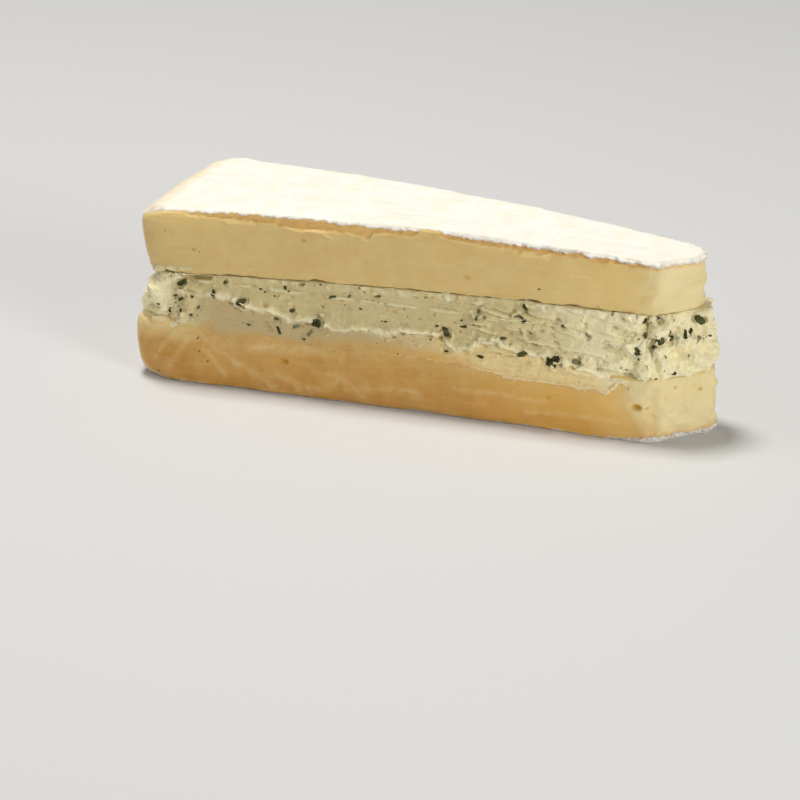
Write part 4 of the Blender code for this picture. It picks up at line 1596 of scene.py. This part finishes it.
def paste_colour(nodes, place, cut_bounce_tint):
    """The paste before the rind is laid over it: mottled, with painted warm bounce light and shade on the
    long cuts, painted shade in hollows, and golden at the rind.
    """
    long_cut = nodes.painted("long_cut")
    patches = nodes.effect(MOTTLING, place, Fineness=55.0, Contrast=0.2)
    small_patches = nodes.effect(MOTTLING, place, Fineness=420.0, Contrast=0.25)
    drags = nodes.effect(DRAG_LINES, place, Spacing=700.0)
    # painted warm bounce light and shade on the long cuts; the nose keeps the plain colour
    bounce_shaded_paste = tuple(well_lit * tint for well_lit, tint in zip(PLAIN_PASTE, cut_bounce_tint))
    paste = nodes.mix(long_cut, PLAIN_PASTE, bounce_shaded_paste)
    deeper = nodes.mix(1.0, paste, DEEP_PASTE, "MULTIPLY")
    paste = nodes.mix(nodes.span(patches, 0.0, 0.75), paste, deeper)
    paste = nodes.mix(nodes.span(nodes.ramp(drags, 0.45, 0.8), 0.0, 0.12), paste, RUBBED_PALE)
    middle_patches = nodes.effect(MOTTLING, place, Fineness=170.0, Contrast=0.2)
    paste = nodes.mix(nodes.span(middle_patches, 0.0, 0.20), paste, RUBBED_PALE)
    paste = nodes.mix(nodes.span(small_patches, 0.0, 0.12), paste, RUBBED_PALE)
    # painted shade: hollows are painted darker and more golden
    hollow = nodes.ramp(nodes.painted("hollow"), 0.02, 0.35)
    return nodes.mix(nodes.span(hollow, 0.0, 0.55), paste, UNDER_RIND_AND_HOLLOW_SHADE), small_patches, drags


def lower_front_painted_light(nodes, paste):
    """The lower half's front: painted light, brighter and more golden towards the nose, and painted warm
    bounce light, deeper low down.
    """
    towards_nose = nodes.sum("MULTIPLY", nodes.painted("towards_nose"), nodes.painted("long_cut"))
    paste = nodes.mix(nodes.span(towards_nose, 0.0, 0.75), paste, LOWER_LIT_TOWARDS_NOSE)
    low_down = nodes.mix(1.0, paste, LOW_DOWN_WARM_BOUNCE, "MULTIPLY")
    return nodes.mix(nodes.painted("low_down"), paste, low_down)


def brie_material(name, cut_bounce_tint, lower_half):
    """The given tint paints warm bounce light and shade onto the long cuts. The lower half also has holes
    with painted shade, rubbed lines and a film of cream.
    """
    material, shader, nodes, place = new_material(name, 0.5, PASTE_GLOW, PASTE_GLOW_RADIUS)
    paste, small_patches, drags = paste_colour(nodes, place, cut_bounce_tint)
    rind = nodes.painted("rind")
    border = nodes.span(nodes.noise(place, 1900.0, 3.0, 0.7), -0.45, 0.45)
    is_rind = nodes.ramp(nodes.sum("ADD", rind, border), -0.06, 0.12)
    near_rind = nodes.ramp(nodes.sum("ADD", rind, nodes.span(small_patches, -0.5, 0.5)), -1.3, 0.0)
    paste = nodes.mix(nodes.span(near_rind, 0.0, 0.5), paste, UNDER_RIND_AND_HOLLOW_SHADE)
    if lower_half:
        paste = lower_front_painted_light(nodes, paste)
    # painted light: paler where the long cuts are painted as lit
    bright = nodes.sum("MULTIPLY", nodes.painted("well_lit"), nodes.painted("long_cut"))
    paste = nodes.mix(nodes.sum("MULTIPLY", bright, 0.7), paste, PAINTED_LIGHT_PASTE)
    if lower_half:
        rubbed = nodes.sum("MULTIPLY", nodes.painted("rubbed"), nodes.span(small_patches, 0.0, 0.30))
        paste = nodes.mix(rubbed, paste, RUBBED_PALE)
        film = nodes.sum("MULTIPLY", nodes.painted("film"), nodes.span(small_patches, 0.08, 0.40))
        paste = nodes.mix(film, paste, FILM_PALE)
        # painted shade inside the holes
        paste = nodes.mix(nodes.span(nodes.painted("hole_shade"), 0.0, 0.9), paste, HOLE_AND_GAP_SHADE)
        rim_colour = LOW_RIM_TAN
    else:
        rim_colour = RIM_TAN
        torn = nodes.sum("MULTIPLY", nodes.painted("torn"), nodes.span(small_patches, 0.5, 0.95))
        paste = nodes.mix(torn, paste, UNDER_RIND_AND_HOLLOW_SHADE)
    # painted shade in the gaps between the layers
    paste = nodes.mix(nodes.span(nodes.painted("crease"), 0.0, 0.35), paste, HOLE_AND_GAP_SHADE)
    bloom_patches = nodes.effect(MOTTLING, place, Fineness=160.0, Contrast=0.16)
    bloom = nodes.mix(nodes.span(bloom_patches, 0.0, 0.6), BLOOM_WHITE, BLOOM_CREAM)
    rim = nodes.sum("MULTIPLY", nodes.painted("rim"), nodes.span(small_patches, 0.35, 0.9))
    bloom = nodes.mix(rim, bloom, rim_colour)
    # painted shade: grey spots at the rind's torn edge
    crease = nodes.effect(MOTTLING, place, Fineness=620.0, Contrast=0.10)
    at_edge = nodes.sum("MULTIPLY", crease, nodes.ramp(rind, 1.5, 0.3))
    bloom = nodes.mix(nodes.sum("MULTIPLY", at_edge, 0.65), bloom, EDGE_SHADE_GREY)
    nodes.feed(shader.inputs["Base Color"], nodes.mix(is_rind, paste, bloom))
    satin = nodes.span(drags, 0.42, 0.62)
    nodes.feed(shader.inputs["Roughness"], nodes.sum("MAXIMUM", satin, nodes.span(is_rind, 0.0, 0.92)))
    pores = nodes.effect(PORES, place, Fineness=650.0, Size=0.22)
    soft_grain = nodes.noise(place, 900.0, 3.0, 0.6)
    paste_height = nodes.sum("SUBTRACT", nodes.span(soft_grain, 0.0, 0.35), nodes.span(pores, 0.0, 0.2))
    paste_height = nodes.sum("ADD", paste_height, nodes.span(drags, 0.0, 0.2))
    fur = nodes.noise(place, 2600.0, 4.0, 0.7)
    pick = nodes.add("ShaderNodeMix", data_type="FLOAT")
    nodes.feed(pick.inputs[0], is_rind)
    nodes.feed(pick.inputs[2], paste_height)
    nodes.feed(pick.inputs[3], nodes.sum("ADD", nodes.span(fur, 0.0, 0.8), 0.6))
    bump(nodes, shader, pick.outputs[0], 0.22 * MM)
    return material


def crumb_material():
    material, shader, nodes, place = new_material("Paste crumbs", 0.55, PASTE_GLOW, PASTE_GLOW_RADIUS)
    patches = nodes.effect(MOTTLING, place, Fineness=300.0, Contrast=0.25)
    nodes.feed(shader.inputs["Base Color"], nodes.mix(patches, CRUMB_GOLD, CRUMB_PALE))
    grain = nodes.noise(place, 1400.0, 4.0, 0.65)
    nodes.feed(shader.inputs["Roughness"], nodes.span(grain, 0.45, 0.7))
    bump(nodes, shader, grain, 0.2 * MM)
    return material


upper_material = brie_material("Brie paste and rind, upper", UPPER_WARM_BOUNCE_TINT, lower_half=False)
lower_material = brie_material("Brie paste and rind, lower", LOWER_WARM_BOUNCE_SHADE_TINT, lower_half=True)
upper.data.materials.append(upper_material)
lower.data.materials.append(lower_material)
paste_crumbs.data.materials.append(crumb_material())
print("materials:", upper_material.name, "and", lower_material.name)

# %% [markdown]
# ## Materials: herbed cream
#
# The cream is whiter than the paste and more matt. From bottom to top of the mix: cream, darker and
# more golden on the front as painted shade and warm bounce light, and paler where it is painted as
# well lit; paler patches; the smear, golden with painted shade under the lip and paler with painted
# highlight towards the nose; the lower brie seen through the thin edge; the painted highlight along
# the lip; painted shade along the gap under the upper brie; grey patches from herbs that lie deep; the
# stain round each herb, broken up by fine noise; painted shade, darker and yellower, in the pits and
# painted highlight where the cream stands out; and tiny green dots.

# %% Cream material
CREAM_GLOW, CREAM_GLOW_RADIUS = 0.15, (1.0, 0.75, 0.45)
# the cream where it is painted as well lit
PLAIN_CREAM = (0.95, 0.86, 0.55)
# painted highlight on the lip
HIGHLIGHT_CREAM = (0.95, 0.89, 0.64)
# painted shade and warm bounce light on the front's cream
FRONT_CREAM_WARM_SHADE = (0.67, 0.545, 0.255)
# paler patches of cream, also used as painted highlight where the cream stands out
PALE_PATCH_AND_HIGHLIGHT_CREAM = (0.93, 0.85, 0.56)
STAIN_GREEN = (0.19, 0.18, 0.115)
BURIED_GREY = (0.36, 0.36, 0.29)
# painted shade in pits and along the gap under the upper brie
CREAM_SHADE_GOLD = (0.44, 0.36, 0.12)
# golden smear with painted shade under the lip
SMEAR_GOLD_AND_LIP_SHADE = (0.57, 0.43, 0.21)
# paler smear towards the nose, with painted highlight
SMEAR_PALER_AND_LIT_TOWARDS_NOSE = (0.92, 0.72, 0.345)


def cream_material():
    material, shader, nodes, place = new_material("Herbed cream", 0.5, CREAM_GLOW, CREAM_GLOW_RADIUS)
    # painted shade and warm bounce light on the front's cream, plain cream where painted as well lit
    cream = nodes.mix(nodes.painted("well_lit"), FRONT_CREAM_WARM_SHADE, PLAIN_CREAM)
    patches = nodes.effect(MOTTLING, place, Fineness=230.0, Contrast=0.25)
    cream = nodes.mix(nodes.span(patches, 0.0, 0.30), cream, PALE_PATCH_AND_HIGHLIGHT_CREAM)
    # painted shade under the lip, turning paler with painted highlight towards the nose
    towards_nose = nodes.painted("towards_nose")
    smeared = nodes.mix(towards_nose, SMEAR_GOLD_AND_LIP_SHADE, SMEAR_PALER_AND_LIT_TOWARDS_NOSE)
    cream = nodes.mix(nodes.span(nodes.painted("smeared"), 0.0, 0.75), cream, smeared)
    # the paste seen through the thin smear, with the lower front's painted light and bounce
    paste, small_patches, _drags = paste_colour(nodes, place, LOWER_WARM_BOUNCE_SHADE_TINT)
    seen_through = nodes.sum("MULTIPLY", nodes.painted("thin"), nodes.span(small_patches, 0.8, 1.0))
    cream = nodes.mix(seen_through, cream, lower_front_painted_light(nodes, paste))
    # painted highlight along the lip
    cream = nodes.mix(nodes.span(nodes.painted("painted_highlight"), 0.0, 0.8), cream, HIGHLIGHT_CREAM)
    # painted shade in the gap under the upper brie
    cream = nodes.mix(nodes.span(nodes.painted("crease"), 0.0, 0.45), cream, CREAM_SHADE_GOLD)
    deep_herbs = nodes.effect(MOTTLING, place, Fineness=520.0, Contrast=0.20)
    rare = nodes.effect(MOTTLING, place, Fineness=90.0, Contrast=0.12)
    buried = nodes.sum("MULTIPLY", nodes.ramp(deep_herbs, 0.72, 1.0), rare)
    cream = nodes.mix(nodes.sum("MULTIPLY", buried, 0.4), cream, BURIED_GREY)
    uneven = nodes.effect(MOTTLING, place, Fineness=1500.0, Contrast=0.35)
    stain = nodes.sum("MULTIPLY", nodes.painted("stain"), 1.3)
    stain = nodes.sum("SUBTRACT", stain, nodes.span(uneven, 0.0, 0.5), clamp=True)
    cream = nodes.mix(nodes.span(stain, 0.0, 0.46), cream, STAIN_GREEN)
    # painted shade in pits, and painted highlight where the cream stands out
    hollow = nodes.painted("hollow")
    cream = nodes.mix(nodes.span(nodes.ramp(hollow, 0.08, 0.7), 0.0, 0.6), cream, CREAM_SHADE_GOLD)
    cream = nodes.mix(nodes.span(nodes.ramp(hollow, -0.03, -0.35), 0.0, 0.6), cream, PALE_PATCH_AND_HIGHLIGHT_CREAM)
    dots = nodes.effect(PORES, place, Fineness=520.0, Size=0.13)
    cream = nodes.mix(nodes.sum("MULTIPLY", nodes.ramp(dots, 0.0, 0.4), 0.6), cream, STAIN_GREEN)
    nodes.feed(shader.inputs["Base Color"], cream)
    drags = nodes.effect(DRAG_LINES, place, Spacing=1200.0)
    nodes.feed(shader.inputs["Roughness"], nodes.span(drags, 0.35, 0.6))
    curd = nodes.noise(place, 1300.0, 4.0, 0.65)
    height = nodes.sum("ADD", nodes.span(drags, 0.0, 0.3), nodes.span(curd, 0.0, 0.6))
    bump(nodes, shader, height, 0.3 * MM)
    return material


cream_finish = cream_material()
filling.data.materials.append(cream_finish)
print("material:", cream_finish.name)

# %% [markdown]
# ## Materials: herbs
#
# The painted shade of each copy picks its colour on a ramp from almost black through olive to
# pale grey green. Paler veins and an uneven gloss come from fine noise.

# %% Herb material
HERB_BLACK = (0.018, 0.016, 0.002)
HERB_OLIVE = (0.072, 0.074, 0.018)
HERB_GREY = (0.28, 0.28, 0.16)
VEIN_GREEN = (0.17, 0.165, 0.08)
OLIVE_SHADE = 0.45


def herb_material():
    material, shader, nodes, place = new_material("Chopped herbs", 0.5, 0.0, (1.0, 1.0, 1.0))
    ramp = nodes.add("ShaderNodeValToRGB")
    nodes.feed(ramp.inputs[0], nodes.painted("shade"))
    ramp.color_ramp.elements[0].color = (*HERB_BLACK, 1.0)
    ramp.color_ramp.elements[1].color = (*HERB_GREY, 1.0)
    olive = ramp.color_ramp.elements.new(OLIVE_SHADE)
    olive.color = (*HERB_OLIVE, 1.0)
    shader.inputs["Specular IOR Level"].default_value = 0.2
    veins = nodes.noise(place, 1300.0, 3.0, 0.6)
    on_vein = nodes.span(nodes.ramp(veins, 0.5, 0.8), 0.0, 0.7)
    nodes.feed(shader.inputs["Base Color"], nodes.mix(on_vein, ramp.outputs[0], VEIN_GREEN))
    nodes.feed(shader.inputs["Roughness"], nodes.span(veins, 0.35, 0.65))
    bump(nodes, shader, veins, 0.12 * MM)
    return material


herb_finish = herb_material()
for piece in herb_pieces:
    piece.data.materials.append(herb_finish)
print("material:", herb_finish.name)

# %% [markdown]
# ## Riding on the body
#
# The cheese is one body, so every piece rides on it. The three layers stand for their solids, which
# are then hidden. The herbs and the crumbs of paste ride on it too.

# %% Bodies
for piece, node, slot in (
    (upper, "upper_brie", "upper_paste"),
    (lower, "lower_brie", "lower_paste"),
    (filling, "herb_filling", "herb_cream"),
):
    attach(piece, "root")
    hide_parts(node)
for piece in herb_pieces:
    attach(piece, "root")
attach(paste_crumbs, "root")
print("pieces:", [piece.name for piece in (*LAYERS, *herb_pieces, paste_crumbs)])

# %% [markdown]
# ## The floor
#
# The floor is plain and pale, far larger than the view, and very faintly clouded.

# %% Floor
FLOOR_SIZE = 6.0
FLOOR_GREY = (0.64, 0.64, 0.635)
FLOOR_PALE = (0.66, 0.66, 0.655)
bpy.ops.object.select_all(action="DESELECT")
bpy.ops.mesh.primitive_plane_add(size=FLOOR_SIZE)
floor = bpy.context.object
floor.name = "floor"
floor_material = bpy.data.materials.new("Pale floor")
floor_material.use_nodes = True
floor_nodes = Nodes(floor_material.node_tree)
floor_shader = floor_material.node_tree.nodes["Principled BSDF"]
floor_place = floor_nodes.add("ShaderNodeTexCoord").outputs["Object"]
floor_clouds = floor_nodes.noise(floor_place, 3.0)
floor_colour = floor_nodes.mix(floor_clouds, FLOOR_GREY, FLOOR_PALE)
floor_nodes.feed(floor_shader.inputs["Base Color"], floor_colour)
floor_shader.inputs["Roughness"].default_value = 0.8
floor.data.materials.append(floor_material)
print("floor:", floor.dimensions.x, "m wide")

# %% [markdown]
# ## Light
#
# A soft light hangs overhead and a little to the left, so the rind is bright and the long cut lies
# in soft shade. A second one from the right opens up the nose, and a weak one from the left keeps
# the rind end from going dark. The room gives the rest.

# %% Light
LIGHT_AIM = Vector((0.0, 0.0, 0.03))
ROOM_COLOUR, ROOM_STRENGTH = (1.0, 0.98, 0.95, 1.0), 0.22


def soft_light(name, place, size, power, colour):
    light = bpy.data.lights.new(name, "AREA")
    light.shape = "DISK"
    light.size = size
    light.energy = power
    light.color = colour
    lamp = bpy.data.objects.new(name, light)
    lamp.location = place
    lamp.rotation_euler = (LIGHT_AIM - Vector(place)).to_track_quat("-Z", "Y").to_euler()
    bpy.context.scene.collection.objects.link(lamp)


world = bpy.data.worlds.new("studio")
world.use_nodes = True
room = world.node_tree.nodes["Background"]
room.inputs["Color"].default_value = ROOM_COLOUR
room.inputs["Strength"].default_value = ROOM_STRENGTH
bpy.context.scene.world = world
soft_light("overhead", (-0.22, 0.02, 1.12), 0.28, 9.6, (1.0, 0.99, 0.97))
soft_light("left", (-1.00, -0.40, 0.55), 0.5, 1.8, (1.0, 0.98, 0.95))
soft_light("right", (1.05, -0.50, 0.45), 0.5, 6.4, (1.0, 0.98, 0.94))
bpy.context.scene.view_settings.view_transform = "Standard"

# %% [markdown]
# ## Camera
#
# The camera looks down a little and turns towards the nose, through a long lens, as food is often
# shown. Its place is worked out from its turn, its rise and its distance from what it looks at.

# %% Camera
CAMERA_TURN = math.radians(25.0)
CAMERA_RISE = math.radians(23.3)
CAMERA_DISTANCE = 1.333
LENS = 198.0
AIM = Vector((-5.95 * MM, -8.29 * MM, 0.0))

camera_data = bpy.data.cameras.new("camera")
camera_data.lens = LENS
camera_data.clip_start = 0.05
camera = bpy.data.objects.new("camera", camera_data)
towards_camera = Vector((
    math.sin(CAMERA_TURN) * math.cos(CAMERA_RISE),
    -math.cos(CAMERA_TURN) * math.cos(CAMERA_RISE),
    math.sin(CAMERA_RISE),
))
camera.location = AIM + towards_camera * CAMERA_DISTANCE
camera.rotation_euler = (-towards_camera).to_track_quat("-Z", "Y").to_euler()
bpy.context.scene.collection.objects.link(camera)
bpy.context.scene.camera = camera
print("camera at", [round(value, 3) for value in camera.location])
